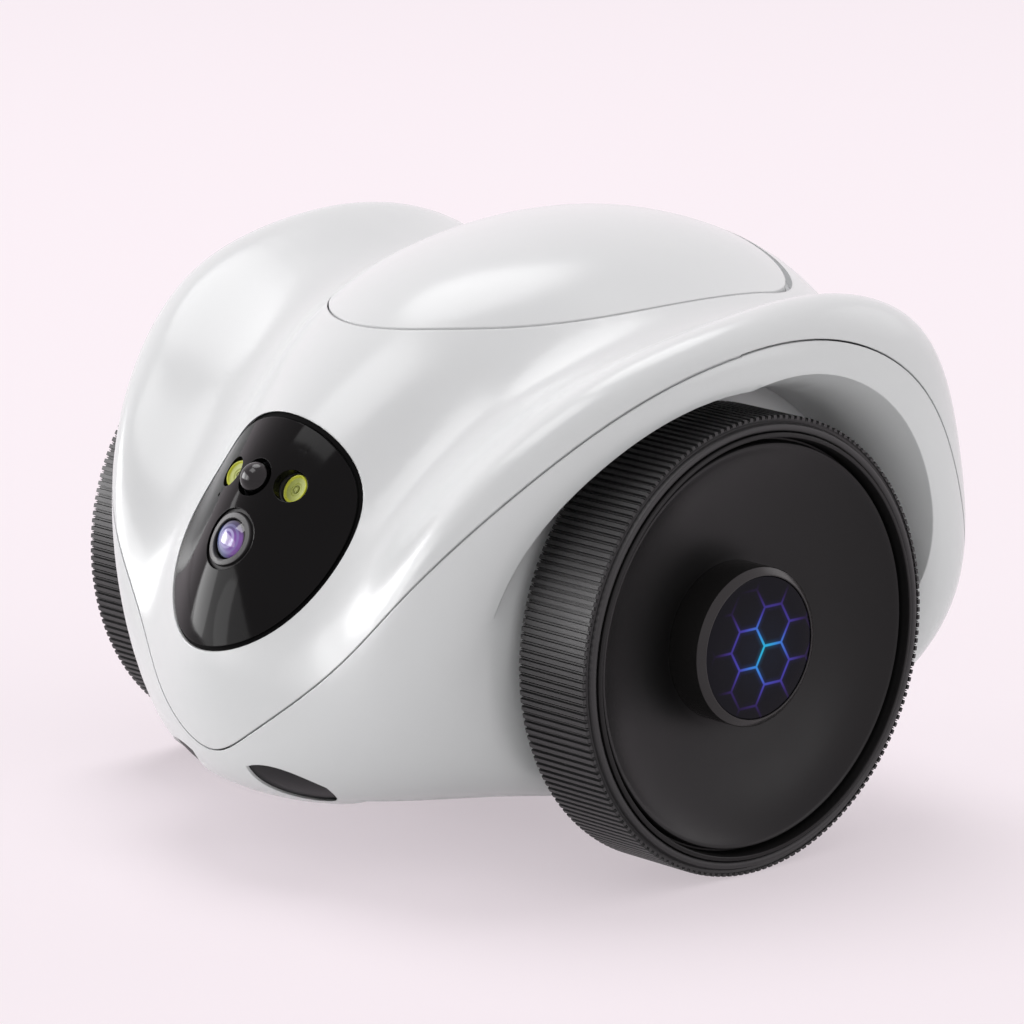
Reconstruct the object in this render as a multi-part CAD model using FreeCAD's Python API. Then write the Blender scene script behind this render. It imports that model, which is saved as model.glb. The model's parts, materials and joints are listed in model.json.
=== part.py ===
import FreeCAD, Part
import math
import os

Vector = FreeCAD.Vector
os.makedirs("parts", exist_ok=True)

# ---------------------------------------------------------------------------
# Driving dimensions, in millimetres. The robot faces -Y and stands on Z = 0,
# with the wheel axle over the origin and along X.
# ---------------------------------------------------------------------------
wheel_radius = 52.0
overall_width = 171.0  # between the outer faces of the two tyres
tyre_width = 21.3
well_gap = 5.4  # between tyre and wheel arch
well_side_gap = 2.6  # between tyre and the inner wall of the wheel well
flare_lead = 11.0  # of the arch's flare behind the axle, and over it
flare_lift = 9.5
flare_radius = 50.0  # where it meets the tyre's outer face
flare_slope = 0.44  # gain of radius with reach outwards
flare_length = 17.5
shell_wall = 2.5
shell_gap = 0.4  # seam between the two shells
lid_gap = 0.4  # seam round the lid
ground_clearance = 16.5  # floor to flat belly
chin_end_y = -64.0  # the belly is flat behind this line, and the chin hangs lower in front of it
fit_gap = 0.3  # between pieces that are seated but don't slide
running_gap = 0.05  # radial, round a turning shaft

axle_z = wheel_radius
half_width = overall_width / 2
tyre_inner_x = half_width - tyre_width
well_x = tyre_inner_x - well_side_gap
well_radius = wheel_radius + well_gap

# ---------------------------------------------------------------------------
# The body's skin: rails that run round the axle, from the chin over the top
# to the tail and back under the belly. A station is an angle about the axle,
# 0 to the front and 90 up. A rail gives its distance from the centre plane,
# or from the tyre's outer face, and its rise over the wheel's radius.
# ---------------------------------------------------------------------------
stations = [-28, -12, 8, 28, 48, 68, 90, 112, 134, 156, 178, 200, 225, 255, 285, 312]
centre_rise = [35, 42.5, 39, 32.5, 28.5, 30.5, 31.5, 41.5, 54.5, 48.5, 37.5, 28, 10.5, -7.5, -7.5, 3]
shoulder_x = [11.5, 14, 16.5, 17.5, 20, 23, 26, 27, 28, 28, 28, 26, 25, 23.5, 23.5, 16.5]
shoulder_rise = [34.5, 40, 31, 23.5, 23.5, 26.5, 27.5, 36.5, 51.5, 46, 36.5, 27, 9.5, -7.5, -7.5, 2.5]
valley_x = [23, 26, 29, 31, 34.5, 38.5, 42, 44, 45.5, 46.5, 46.5, 43.5, 41.5, 40.5, 39, 28.5]
valley_rise = [30, 35.5, 25, 12, 9.5, 10.5, 13, 22.5, 38.5, 40.5, 34.5, 25, 6, -7.5, -7.5, 1]
slope_x = [33, 35.5, 38.5, 44, 49, 54, 58, 58.5, 60, 60.5, 59.5, 54, 49.5, 48, 46, 37.5]
slope_rise = [24, 30, 26, 17.5, 13.5, 11.5, 11.5, 19.5, 34.5, 36.5, 33, 25, 3, -8, -8, -1]
crest_inset = [45, 43, 38.5, 30, 20.5, 12, 8, 8, 9, 12, 14, 20, 30.5, 32.5, 34.5, 41]
crest_rise = [17.5, 24.5, 26, 25.5, 23.5, 23, 24.3, 34.3, 43.3, 34, 29.5, 22, 0, -8.5, -8.5, -3]
roll_inset = [38.5, 37, 31.5, 22.5, 12, 4, 0, 0, 1.5, 5.5, 6.5, 15, 27.5, 29.5, 30.5, 35]
roll_rise = [12, 17.5, 20, 20, 17.5, 18, 19.3, 26, 32, 25, 25.5, 17, -2.5, -9.5, -9.5, -4.5]
side_inset = [33.5, 32, 26, 19.5, 10, 2.5, -2, -2, -1, 2, 3.5, 12, 25, 27.5, 28.5, 31]
side_rise = [7, 10.5, 11.5, 11.5, 11.5, 12.5, 13, 14.5, 17, 15, 18.5, 12.5, -5, -10.5, -10.5, -6]
arch_inset = [28.5, 26.5, 24, 19, 10.5, 4.5, 1.5, 1.5, 1.5, 2.5, 4, 14, 24, 25, 25, 27.5]
arch_rise = [1, 2, 2.5, 2.5, 3.5, 5, 5, 5, 5, 5, 5, 2.5, -8, -12.5, -12.5, -8.5]
lip_inset = [23] * 16
lip_rise = [-10.5] * 12 + [-15.5, -17.5, -17.5, -15.5]
end_radius = wheel_radius - 20.0  # of the skin's closing edge, hidden in the wheel well
end_x = well_x + 0.6


# ---------------------------------------------------------------------------
# The seam between the shells. Over the front half it is drawn as seen from the
# front, by half width and height. Behind that it is drawn as seen from the
# side, by angle about the axle and rise over the wheel's radius.
# ---------------------------------------------------------------------------
seam_front = [
    (0.0, 27.0), (13.0, 32.8), (26.0, 43.0), (50.0, 68.4), (half_width - 15.5, 95.9),
    (half_width - 7.5, 107.8), (half_width - 0.2, 118.7), (half_width + 6.5, 128.6),
]
seam_rear = [
    (84.0, 14.3), (86.6, 14.62), (111.6, 18.5), (132.0, 21.3), (152.1, 22.0), (166.0, 22.2), (177.8, 26.0),
    (184.4, 40.3), (186.2, 58.6),
]
seam_switch_y = -4.5  # where the front drawing hands over to the side drawing
inboard_half = well_x + 8.4  # inside this the rear seam's cut spares the valley between the ridges
inboard_end_y = 40.0

# face
window_half_width = 25.3
window_half_height = 23.9
window_centre_z = 75.3
window_wall = 2.0
gasket_width = 1.1
gasket_sink = 0.6
carrier_wall = 2.0
carrier_margin = 4.0
camera_tilt = 20.0  # degrees up from straight ahead
camera_z = 74.5
ring_radius = 7.2
ring_bore = 5.2
ring_depth = 2.2
lens_radius = 4.6
lens_sink = 1.4
lens_wall = 1.2
barrel_radius = 6.4
sensor_z = 87.3
sensor_radius = 3.8
sensor_recess = 4.7
sensor_sink = 1.1
sensor_length = 4.4
light_x = 9.9
light_z = 86.6
light_tilt = 32.0
light_radius = 3.5
light_recess = 3.8
light_depth = 2.6
emitter_radius = 0.9
emitter_height = 1.1
cup_height = 1.6
cup_base = 0.8
cup_floor = 0.6  # flat ring round the emitter
cup_rim = 0.3
microphone_x = -11.6
microphone_z = 81.4
microphone_hole = 0.5
microphone_radius = 2.0
microphone_gap = 1.1  # behind the window
microphone_length = 2.2
board_wall = 1.6
camera_board_width = 34.0
camera_board_height = 26.0
camera_board_back = 14.5  # from the window's face to the board
camera_chip = 10.0
camera_chip_wall = 1.5
pillar_x = 13.0
pillar_up = 9.0
pillar_radius = 2.0
pillar_length = 40.0  # before the carrier trims it

# leaf windows under the chin, as seen from the front
leaf_tip = (9.4, 24.4)
leaf_top = (18.6, 25.2)
leaf_shoulder = (25.6, 21.0)
leaf_end = (24.2, 17.6)
leaf_bottom = (16.2, 16.4)
leaf_sink = 0.7
leaf_wall = 1.4
leaf_centre = (17.8, 20.9)
floor_sensor_radius = 3.0
floor_sensor_length = 6.0
floor_sensor_tilt = 50.0

# treat lid and hopper
lid_half_width = 44.0
lid_centre_y = 38.0  # the outline is a half ellipse in front of this line
lid_front_reach = 80.3
lid_rear_y = 60.0
lid_swing_gap = 1.6  # more gap behind the lid, where its edge swings down past the shell
lid_corner_radius = 16.0
lid_wall = 2.5
hinge_y = 64.0
hinge_sink = 3.6  # of the hinge axis under the skin
hinge_pin_radius = 1.25
knuckle_radius = 2.5
lid_knuckle_half = 9.0
shell_knuckle_length = 5.0
knuckle_gap = 0.4
trough_wall = 1.5
tongue_overlap = 2.0  # of the hinge tongue and the lid's shell
tongue_sink = 0.6  # of the tongue under the skin
tongue_drop = 1.7  # of its underside under the lid's wall
gutter_wall = 1.5  # of the gutter under the gap behind the lid
gutter_gap = 0.3
gutter_lap = 1.6
collar_outside = 4.5  # reach of the hopper's collar under the shell's edge
collar_inside = 4.6
collar_wall = 3.0
collar_rear_gap = 12.0  # free space in front of the hinge axis, where the lid's rear edge swings
seal_inside = 5.0
seal_width = 2.2
seal_wall = 1.8
deck_wall = 2.0
magnet_y = -31.0
magnet_radius = 4.0
magnet_wall = 2.2
catch_gap = 0.4
catch_wall = 1.6
hopper_wall = 2.0
hopper_break_z = 104.0  # upright walls above, funnel below
hopper_bottom_z = 80.4
hopper_front_y = -16.0
hopper_front_half = 19.0
hopper_side_y = 4.0
hopper_half = 34.5
hopper_rear_y = 54.0

# toss rotor and its housing
rotor_y = 54.0
rotor_z = 72.0
rotor_radius = 18.4
rotor_half = 15.4
rotor_hub_radius = 6.0
rotor_vanes = 6
rotor_vane_wall = 2.0
rotor_gap = 0.6
housing_wall = 2.0
rotor_shaft_radius = 2.0
spout_low_z = 55.0
spout_high_z = 73.0
spout_end_y = 82.5
inlet_rise = 3.0  # of the inlet's lower edge over the rotor's axis
funnel_lead = 1.0  # of the funnel's mouth in front of the chamber
funnel_corner = 6.0
housing_leg_x = 14.0
housing_leg_width = 4.0
housing_leg_length = 10.0
rotor_motor_radius = 8.0
rotor_motor_length = 24.0
rotor_shaft_in_motor = 6.0
flap_half = 18.0
flap_low_z = 53.0
flap_hinge_z = 76.0
flap_barrel_radius = 2.4
flap_pin_radius = 1.0
flap_gap = 0.4
flap_wall = 2.0
flap_ear = 3.0
flap_ear_reach = 4.0
flap_opening_depth = 6.0
spring_turns = 4
spring_pitch = 0.8
spring_wire = 0.35
spring_leg = 5.0

# wheels
ring_proud = 1.4  # of the rim's ring, over the tyre's outer face
rim_radius = 48.4
rim_ring_radius = 47.7
ring_flat = 0.7
ring_bevel = 0.9
dish_radius = 46.3
dish_edge_depth = 1.7
dish_depth = 8.8
dish_fillet = 1.1
rim_wall = 2.5
rim_boss_radius = 9.0
hub_radius = 18.1
hub_proud = 1.2
hub_bevel = 0.9
hub_ledge = 1.2  # that the light disc rests on
hub_foot_gap = 0.9  # between the hub cap and the dish's curve
hub_lamp_size = 3.0
hub_lamp_height = 1.2
hub_lamp_reach = 8.25
hub_wall = 1.7
light_disc_radius = 16.2
light_disc_wall = 1.6
light_disc_sink = 0.4
hub_board_depth = 5.0
shaft_radius = 3.0
shaft_sink = 0.5  # of its end behind the screw's face
shaft_in_gearbox = 6.0
tyre_round = 0.8
bush_radius = 5.5
bush_flange_radius = 7.5
bush_flange_wall = 1.5
bush_boss_radius = 9.0
bush_boss_length = 5.0
wheel_screw_radius = 3.2
wheel_screw_head = 2.2
wheel_screw_shank = 1.25
wheel_screw_length = 8.0
wheel_slot_half = 2.2
wheel_slot_wall = 0.8
gearbox_length = 24.0
gearbox_size = 22.0
gearbox_x = 26.0
motor_radius = 9.5
motor_length = 20.0
bracket_wall = 2.0
bracket_width = 30.0
bracket_foot = 9.0
bracket_hole_gap = 2.0

# belly
battery_y = 8.0
ledge_half_x = 36.0
ledge_half_y = 27.0
ledge_width = 6.0
ledge_wall = 2.0
cover_gap = 0.3
battery_radius = 9.2
battery_length = 66.0
battery_pitch = 19.0
cover_screw_inset = 2.2  # from the cover's edge
cover_screw_radius = 1.7
cover_screw_shank = 1.0
cover_screw_head = 1.0
cover_screw_sink = 0.2
shell_screw_x = 42.0
shell_screw_front_y = -38.0
shell_screw_rear_x = 48.0
shell_screw_rear_y = 68.0
boss_radius = 4.0
boss_meet_z = 62.0
screw_head_radius = 2.9
screw_head_height = 2.0
screw_shank_radius = 1.5
screw_hole_radius = 1.7
screw_sink = 6.0
screw_hold = 14.0  # of a screw's end in the upper boss
speaker_y = -46.0
speaker_radius = 13.0
speaker_height = 6.0
speaker_hole_radius = 0.9
speaker_hole_pitch = 4.0
main_board_z = 44.0
main_board_front_y = -62.0
main_board_rear_y = -17.0
main_board_half = 40.0
main_board_margin = 1.0
board_parts = [  # centre, width, depth and height of the chips, the coil and the plug on the board
    (0.0, -39.0, 18.0, 18.0, 1.6), (19.0, -35.0, 10.0, 10.0, 1.2), (-20.5, -38.0, 11.0, 12.0, 2.4),
    (0.0, -22.0, 12.0, 6.0, 4.0),
]
post_radius = 3.0
post_x = 26.0
post_front_y = -50.0
post_rear_y = -31.0

# rear panel with the power button and the charging socket
panel_y = 75.0
panel_half = 27.0
panel_low_z = 31.0
panel_high_z = 44.0
button_x = -15.0
button_z = 37.5
button_radius = 4.5
button_travel = 1.0
button_proud = 0.9
button_length = 5.2
button_flange = 1.0
button_flange_wall = 1.4
switch_size = 6.0
socket_x = 15.0
socket_width = 9.0
socket_height = 3.4
socket_wall = 0.5
socket_sink = 0.2
socket_tongue_wall = 0.7
socket_tongue_sink = 1.0
switch_gap = 0.2
panel_post_radius = 1.5
rear_board_margin = 1.0
rear_board_y = 66.5
rear_board_half = 25.0

# rear caster
caster_y = 50.0
caster_wheel_radius = 7.5
caster_wheel_width = 7.0
caster_trail = 3.5
caster_axle_radius = 1.2
fork_wall = 2.2
fork_eye_radius = 3.0
caster_side_gap = 0.4
fork_plate_radius = 9.0
fork_plate_wall = 2.4
fork_post_radius = 3.0
caster_pocket_radius = 10.5
caster_pocket_top_z = 19.6
caster_boss_radius = 13.0
caster_bore_length = 10.4
caster_clip_radius = 4.4
caster_clip_wall = 1.2
caster_end_gap = 0.2
caster_tread_chamfer = 0.8
arm_front = 5.0
arm_rear = 7.0
arm_sink = 0.5


def skin_rows():
    """Control points of the skin, one row a station, from the right side to the left."""
    rows = []
    for i, degrees in enumerate(stations):
        half = [
            (0.0, centre_rise[i]),
            (shoulder_x[i], shoulder_rise[i]),
            (valley_x[i], valley_rise[i]),
            (slope_x[i], slope_rise[i]),
            (half_width - crest_inset[i], crest_rise[i]),
            (half_width - roll_inset[i], roll_rise[i]),
            (half_width - side_inset[i], side_rise[i]),
            (half_width - arch_inset[i], arch_rise[i]),
            (half_width - lip_inset[i], lip_rise[i]),
        ]
        flat = [(-x, r) for x, r in half[:0:-1]] + half
        angle = math.radians(degrees)
        out = [
            Vector(x, -(wheel_radius + r) * math.cos(angle), axle_z + (wheel_radius + r) * math.sin(angle))
            for x, r in flat
        ]
        # a uniform row is turned into one that starts and ends on its own points
        first = (out[0] + out[1] * 4 + out[2]) * (1 / 6)
        second = (out[1] * 2 + out[2]) * (1 / 3)
        last = (out[-1] + out[-2] * 4 + out[-3]) * (1 / 6)
        before = (out[-2] * 2 + out[-3]) * (1 / 3)
        close = Vector(end_x, -end_radius * math.cos(angle), axle_z + end_radius * math.sin(angle))
        mirror = Vector(-close.x, close.y, close.z)
        rows.append([mirror, first, second] + out[2:-2] + [before, last, close])
    return rows


def inset_rows(rows, depth):
    """The same control points, moved inwards along the skin's normal."""
    count = len(rows)
    moved = []
    for i, row in enumerate(rows):
        line = []
        for j, point in enumerate(row):
            if j in (0, len(row) - 1):
                axis = Vector(point.x, 0, axle_z)
                line.append(axis + (point - axis) * (1 - depth / end_radius))
                continue
            along = rows[(i + 1) % count][j] - rows[i - 1][j]
            across = row[j + 1] - row[j - 1]
            normal = across.cross(along)
            normal.normalize()
            line.append(point - normal * depth)
        moved.append(line)
    return moved


def skin_solid(depth):
    rows = inset_rows(skin_rows(), depth) if depth else skin_rows()
    around = len(rows)
    across = len(rows[0])
    surface = Part.BSplineSurface()
    surface.buildFromPolesMultsKnots(
        rows,
        [1] * (around + 1),
        [4] + [1] * (across - 4) + [4],
        list(range(around + 1)),
        list(range(across - 2)),
        True,
        False,
        3,
        3,
    )
    skin = surface.toShape()
    rims = [edge for edge in skin.Edges if edge.BoundBox.XLength < 0.01]
    caps = [Part.Face(Part.Wire([edge])) for edge in rims]
    shell = Part.makeShell([skin] + caps)
    shell.sewShape()
    return Part.makeSolid(shell)


# ---------------------------------------------------------------------------
# Small helpers
# ---------------------------------------------------------------------------
X_AXIS = Vector(1, 0, 0)
Y_AXIS = Vector(0, 1, 0)
Z_AXIS = Vector(0, 0, 1)
FAR = 200.0  # past the object in every direction
sides = (("left", 1), ("right", -1))


def box(low, high):
    size = Vector(*high) - Vector(*low)
    return Part.makeBox(size.x, size.y, size.z, Vector(*low))


def rod(radius, start, axis, length):
    return Part.makeCylinder(radius, length, Vector(*start), Vector(*axis))


def rod_x(radius, x0, x1, y, z):
    return rod(radius, (min(x0, x1), y, z), X_AXIS, abs(x1 - x0))


def rod_z(radius, x, y, z0, z1):
    return rod(radius, (x, y, z0), Z_AXIS, z1 - z0)


def fuse(shapes):
    first = shapes[0]
    return first.fuse(shapes[1:]).removeSplitter() if len(shapes) > 1 else first


def mirrored(shape):
    return shape.mirror(Vector(0, 0, 0), X_AXIS)


def polyline(points):
    return [Part.makeLine(a, b) for a, b in zip(points, points[1:])]


def curve_edge(points):
    curve = Part.BSplineCurve()
    curve.interpolate(points)
    return curve.toShape()


def save(node, shapes):
    """Write one node; its shapes stay separate solids."""
    solids = []
    for shape in shapes if isinstance(shapes, list) else [shapes]:
        solids += shape.Solids
    if not solids:
        raise ValueError(node + " is empty")
    whole = solids[0] if len(solids) == 1 else Part.makeCompound(solids)
    if not all(solid.isValid() for solid in solids):
        print("not valid:", node)
    whole.exportStep("parts/" + node + ".step")
    nodes[node] = whole
    return whole


nodes = {}
voids = {}


def void(depth):
    """All the space deeper than this under the skin."""
    key = round(depth, 3)
    if key not in voids:
        voids[key] = skin_solid(key)
    return voids[key]


def between(shape, outer_depth, inner_depth):
    """The part of a shape that lies between two depths under the skin."""
    return shape.common(void(outer_depth)).cut(void(inner_depth))


def skin_y(x, z):
    """Where the face's skin is, straight in front of a point."""
    line = Part.makeLine(Vector(x, -FAR, z), Vector(x, 0, z))
    return line.common(void(0)).BoundBox.YMin


def tail_y(x, z):
    line = Part.makeLine(Vector(x, FAR, z), Vector(x, 0, z))
    return line.common(void(0)).BoundBox.YMax


def top_z(x, y):
    line = Part.makeLine(Vector(x, y, FAR), Vector(x, y, axle_z))
    return line.common(void(0)).BoundBox.ZMax


# ---------------------------------------------------------------------------
# Outlines that cut the shells
# ---------------------------------------------------------------------------
def grown_curve(points, across, offset):
    """Smooth curve through points, moved sideways by an offset."""
    curve = Part.BSplineCurve()
    curve.interpolate(points)
    moved = []
    for point in points:
        tangent = curve.tangent(curve.parameter(point))[0]
        moved.append(point + across.cross(tangent) * offset)
    grown = Part.BSplineCurve()
    grown.interpolate(moved)
    return grown.toShape(), moved[0], moved[-1]


def prism_below(points, across, offset):
    """Everything below a curve, as a prism."""
    line, first, last = grown_curve(points, across, offset)
    low = -FAR / 2
    first_low = Vector(first.x, first.y, low)
    last_low = Vector(last.x, last.y, low)
    sides_and_foot = polyline([last, last_low, first_low, first])
    return Part.Face(Part.Wire([line] + sides_and_foot)).extrude(across * (2 * FAR))


def below_seam(offset):
    """Everything on the lower shell's side of the seam, grown by an offset."""
    half = [Vector(x, -FAR, z) for x, z in seam_front]
    whole = [Vector(-point.x, point.y, point.z) for point in half[:0:-1]] + half
    front = prism_below(whole, Y_AXIS * -1, offset).mirror(Vector(0, -FAR, 0), Y_AXIS)
    side = []
    for degrees, rise in seam_rear:
        angle = math.radians(degrees)
        reach = wheel_radius + rise
        side.append(Vector(-FAR, -reach * math.cos(angle), axle_z + reach * math.sin(angle)))
    rear = prism_below(side, X_AXIS, offset)
    spared = box((-inboard_half, seam_switch_y, axle_z), (inboard_half, inboard_end_y, FAR))
    well_reach = well_radius + shell_wall + shell_gap / 2 + offset
    wells = [
        rod_x(well_reach, sign * (well_x - shell_wall - shell_gap / 2 - offset), sign * FAR, 0, axle_z)
        for name, sign in sides
    ]
    front = front.common(box((-FAR, -FAR, -FAR), (FAR, seam_switch_y, FAR)))
    rear = rear.common(box((-FAR, seam_switch_y, -FAR), (FAR, FAR, FAR))).cut(spared)
    return fuse([front, rear] + wells)


def ellipse_wire(centre, first, first_radius, second, second_radius):
    if first_radius >= second_radius:
        long_end, short_end = centre + first * first_radius, centre + second * second_radius
    else:
        long_end, short_end = centre + second * second_radius, centre + first * first_radius
    return Part.Wire([Part.Ellipse(long_end, short_end, centre).toShape()])


def lid_prism(offset, rear_gap=0.0):
    """Upright prism of the lid's outline, grown by an offset, and short of its rear line by a gap."""
    width = lid_half_width + offset
    reach = lid_front_reach + offset
    back = lid_rear_y + offset - rear_gap
    low = axle_z
    centre = Vector(0, lid_centre_y, low)
    whole = Part.Face(ellipse_wire(centre, X_AXIS, width, Y_AXIS, reach)).extrude(Z_AXIS * FAR)
    front = whole.common(box((-FAR, -FAR, 0), (FAR, lid_centre_y, FAR * 2)))
    rest = box((-width, lid_centre_y, low), (width, back, FAR + low))
    upright = [edge for edge in rest.Edges if edge.BoundBox.ZLength > FAR - 1]
    corners = [edge for edge in upright if edge.BoundBox.YMin > back - 1]
    rest = rest.makeFillet(lid_corner_radius + offset, corners)
    return fuse([front, rest])


def oval_prism(grow):
    """Prism along Y of the window's oval."""
    wide = window_half_width + grow
    high = window_half_height + grow
    centre = Vector(0, -FAR, window_centre_z)
    return Part.Face(ellipse_wire(centre, X_AXIS, wide, Z_AXIS, high)).extrude(Y_AXIS * (FAR - 20))


def leaf_prism(sign):
    tip, top, shoulder, end, bottom = [
        Vector(x * sign, -FAR, z) for x, z in (leaf_tip, leaf_top, leaf_shoulder, leaf_end, leaf_bottom)
    ]
    upper = Part.Arc(tip, top, shoulder).toShape()
    close = Part.BSplineCurve()
    close.interpolate([shoulder, end, bottom, tip])
    return Part.Face(Part.Wire([upper, close.toShape()])).extrude(Y_AXIS * (FAR - 30))


def wheel_wells(radius, inner_x):
    return [rod_x(radius, sign * inner_x, sign * FAR, 0, axle_z) for name, sign in sides]


def arch_flares(offset):
    """Cones that open the wheel arches towards the tail, grown by an offset."""
    start = Vector(half_width - flare_length, flare_lead, axle_z + flare_lift)
    length = 2 * flare_length
    small = flare_radius - flare_slope * flare_length + offset
    cone = Part.makeCone(small, small + flare_slope * length, length, start, X_AXIS)
    return [cone, mirrored(cone)]


# ---------------------------------------------------------------------------
# Shells
# ---------------------------------------------------------------------------
hinge_z = top_z(0, hinge_y) - hinge_sink
hull = void(0)
belly_cut = box((-FAR, chin_end_y, -FAR), (FAR, FAR, ground_clearance))
belly_floor_z = ground_clearance + shell_wall
inner_floor = box((-FAR, chin_end_y - shell_wall, -FAR), (FAR, FAR, belly_floor_z))
outside = hull.cut([belly_cut] + wheel_wells(well_radius, well_x) + arch_flares(0))
well_walls = wheel_wells(well_radius + shell_wall, well_x - shell_wall) + arch_flares(shell_wall)
inside = void(shell_wall).cut([inner_floor] + well_walls)
casing = outside.cut(inside)

lower_side = below_seam(-shell_gap / 2)
upper_side = below_seam(shell_gap / 2)

# the face: an oval hole with its gasket and window
window_hole = oval_prism(gasket_width)
gasket_ring = oval_prism(gasket_width).cut(oval_prism(0))
window_blank = oval_prism(0)
face_front = box((-FAR, -FAR, 0), (FAR, 0, FAR))


def aim(tilt):
    """Direction that looks ahead and up by a tilt in degrees."""
    return Vector(0, -math.cos(math.radians(tilt)), math.sin(math.radians(tilt)))


bore = 9.0  # reach of a cutting rod to each side of the face
camera_aim = aim(camera_tilt)
light_aim = aim(light_tilt)
lens_point = Vector(0, skin_y(0, camera_z), camera_z)
sensor_point = Vector(0, skin_y(0, sensor_z), sensor_z)
light_points = [Vector(sign * light_x, skin_y(sign * light_x, light_z), light_z) for name, sign in sides]
microphone_point = Vector(microphone_x, skin_y(microphone_x, microphone_z), microphone_z)


def stick(radius, point, axis, front, back):
    """A rod along an axis, from in front of a point to behind it."""
    return Part.makeCylinder(radius, front + back, point - axis * back, axis)


optics_holes = [
    stick(ring_radius, lens_point, camera_aim, bore, bore),
    stick(sensor_recess, sensor_point, light_aim, bore, bore),
    stick(microphone_hole, microphone_point, light_aim, bore, bore),
] + [stick(light_recess, point, light_aim, bore, bore) for point in light_points]

window = window_blank.common(face_front).common(outside)
window = window.cut(void(window_wall)).cut(optics_holes)
save("camera_window", window)
save("window_gasket", between(gasket_ring, gasket_sink, shell_wall))

# the carrier backs the window, and holds the optics and their board
board_plane = lens_point - camera_aim * camera_board_back
pillar_places = [(x, up) for x in (-pillar_x, pillar_x) for up in (-pillar_up, pillar_up)]
camera_up = X_AXIS.cross(camera_aim) * -1


def on_board(x, up):
    return board_plane + X_AXIS * x + camera_up * up


carrier = between(oval_prism(carrier_margin), shell_wall, shell_wall + carrier_wall)
pillars = [stick(pillar_radius, on_board(x, up), camera_aim, pillar_length, 0) for x, up in pillar_places]
pillars = [pillar.common(void(shell_wall + carrier_wall / 2)) for pillar in pillars]
carrier_holes = [
    stick(barrel_radius + fit_gap, lens_point, camera_aim, bore, pillar_length),
    stick(ring_radius, lens_point, camera_aim, bore, ring_depth + fit_gap),
    stick(sensor_recess, sensor_point, light_aim, bore, bore),
    stick(microphone_radius, microphone_point, light_aim, bore, bore),
] + [stick(light_recess, point, light_aim, bore, bore) for point in light_points]
save("window_carrier", fuse([carrier] + pillars).cut(carrier_holes))

ring_blank = stick(ring_radius - fit_gap, lens_point, camera_aim, bore, ring_depth)
ring_hole = stick(ring_bore, lens_point, camera_aim, bore, bore)
save("camera_ring", ring_blank.common(void(0)).cut(ring_hole))
lens_front = lens_point - camera_aim * lens_sink
dome_radius = lens_radius * 1.6
dome_centre = lens_front - camera_aim * math.sqrt(dome_radius ** 2 - lens_radius ** 2)
lens_cap = Part.makeSphere(dome_radius, dome_centre)
lens_cap = lens_cap.common(stick(lens_radius, lens_front, camera_aim, bore, 0))
save("camera_lens", fuse([lens_cap, stick(lens_radius, lens_front, camera_aim, 0, lens_wall)]))
barrel_front = ring_depth + fit_gap / 10
barrel_point = lens_point - camera_aim * barrel_front
barrel = stick(barrel_radius, barrel_point, camera_aim, 0, camera_board_back - barrel_front)
lens_seat = stick(lens_radius, lens_front - camera_aim * lens_wall, camera_aim, bore, 0)
save("camera_module", barrel.cut(lens_seat))
sensor_ball = Part.makeSphere(sensor_radius, sensor_point - light_aim * sensor_sink)
sensor_ball = sensor_ball.common(stick(sensor_radius, sensor_point, light_aim, bore, sensor_sink))
sensor_stem = stick(sensor_radius, sensor_point, light_aim, -sensor_sink, sensor_length)
save("sensor_dome", fuse([sensor_stem, sensor_ball]))
light_cups = []
light_emitters = []
for point in light_points:
    seat = point - light_aim * light_depth
    cup = stick(light_radius, seat, light_aim, cup_height, cup_base)
    cone = Part.makeCone(emitter_radius + cup_floor, light_radius - cup_rim, cup_height, seat, light_aim)
    light_cups.append(cup.cut(cone))
    tip = Part.makeSphere(emitter_radius, seat + light_aim * emitter_height)
    emitter = stick(emitter_radius, seat, light_aim, emitter_height, 0)
    light_emitters.append(emitter.fuse(tip).removeSplitter())
save("light_cups", light_cups)
save("light_emitters", light_emitters)
microphone_front = microphone_point - light_aim * (window_wall + microphone_gap)
save("microphone", stick(microphone_radius - fit_gap, microphone_front, light_aim, 0, microphone_length))


def camera_plate(half_wide, half_high, back, wall):
    """Plate square to the camera's axis, this far behind the board's front face."""
    low = [(-half_wide, -half_high), (half_wide, -half_high)]
    high = [(half_wide, half_high), (-half_wide, half_high)]
    corners = [on_board(x, up) - camera_aim * back for x, up in low + high]
    return Part.Face(Part.makePolygon(corners + corners[:1])).extrude(camera_aim * -wall)


board = camera_plate(camera_board_width / 2, camera_board_height / 2, 0, board_wall)
chip = camera_plate(camera_chip / 2, camera_chip / 2, board_wall, camera_chip_wall)
save("camera_board", [board, chip])

# ---------------------------------------------------------------------------
# Shell screws and their bosses
# ---------------------------------------------------------------------------
screw_places = [(sign * shell_screw_x, shell_screw_front_y) for name, sign in sides]
screw_places += [(sign * shell_screw_rear_x, shell_screw_rear_y) for name, sign in sides]
lower_bosses = [rod_z(boss_radius, x, y, ground_clearance, boss_meet_z) for x, y in screw_places]
lower_bosses = [boss.common(outside) for boss in lower_bosses]
upper_bosses = [rod_z(boss_radius, x, y, boss_meet_z + fit_gap, FAR) for x, y in screw_places]
upper_bosses = [boss.common(void(shell_wall / 2)) for boss in upper_bosses]
screw_top = boss_meet_z + screw_hold


def belly_z(x, y):
    line = Part.makeLine(Vector(x, y, 0), Vector(x, y, axle_z))
    return line.common(outside).BoundBox.ZMin


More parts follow.
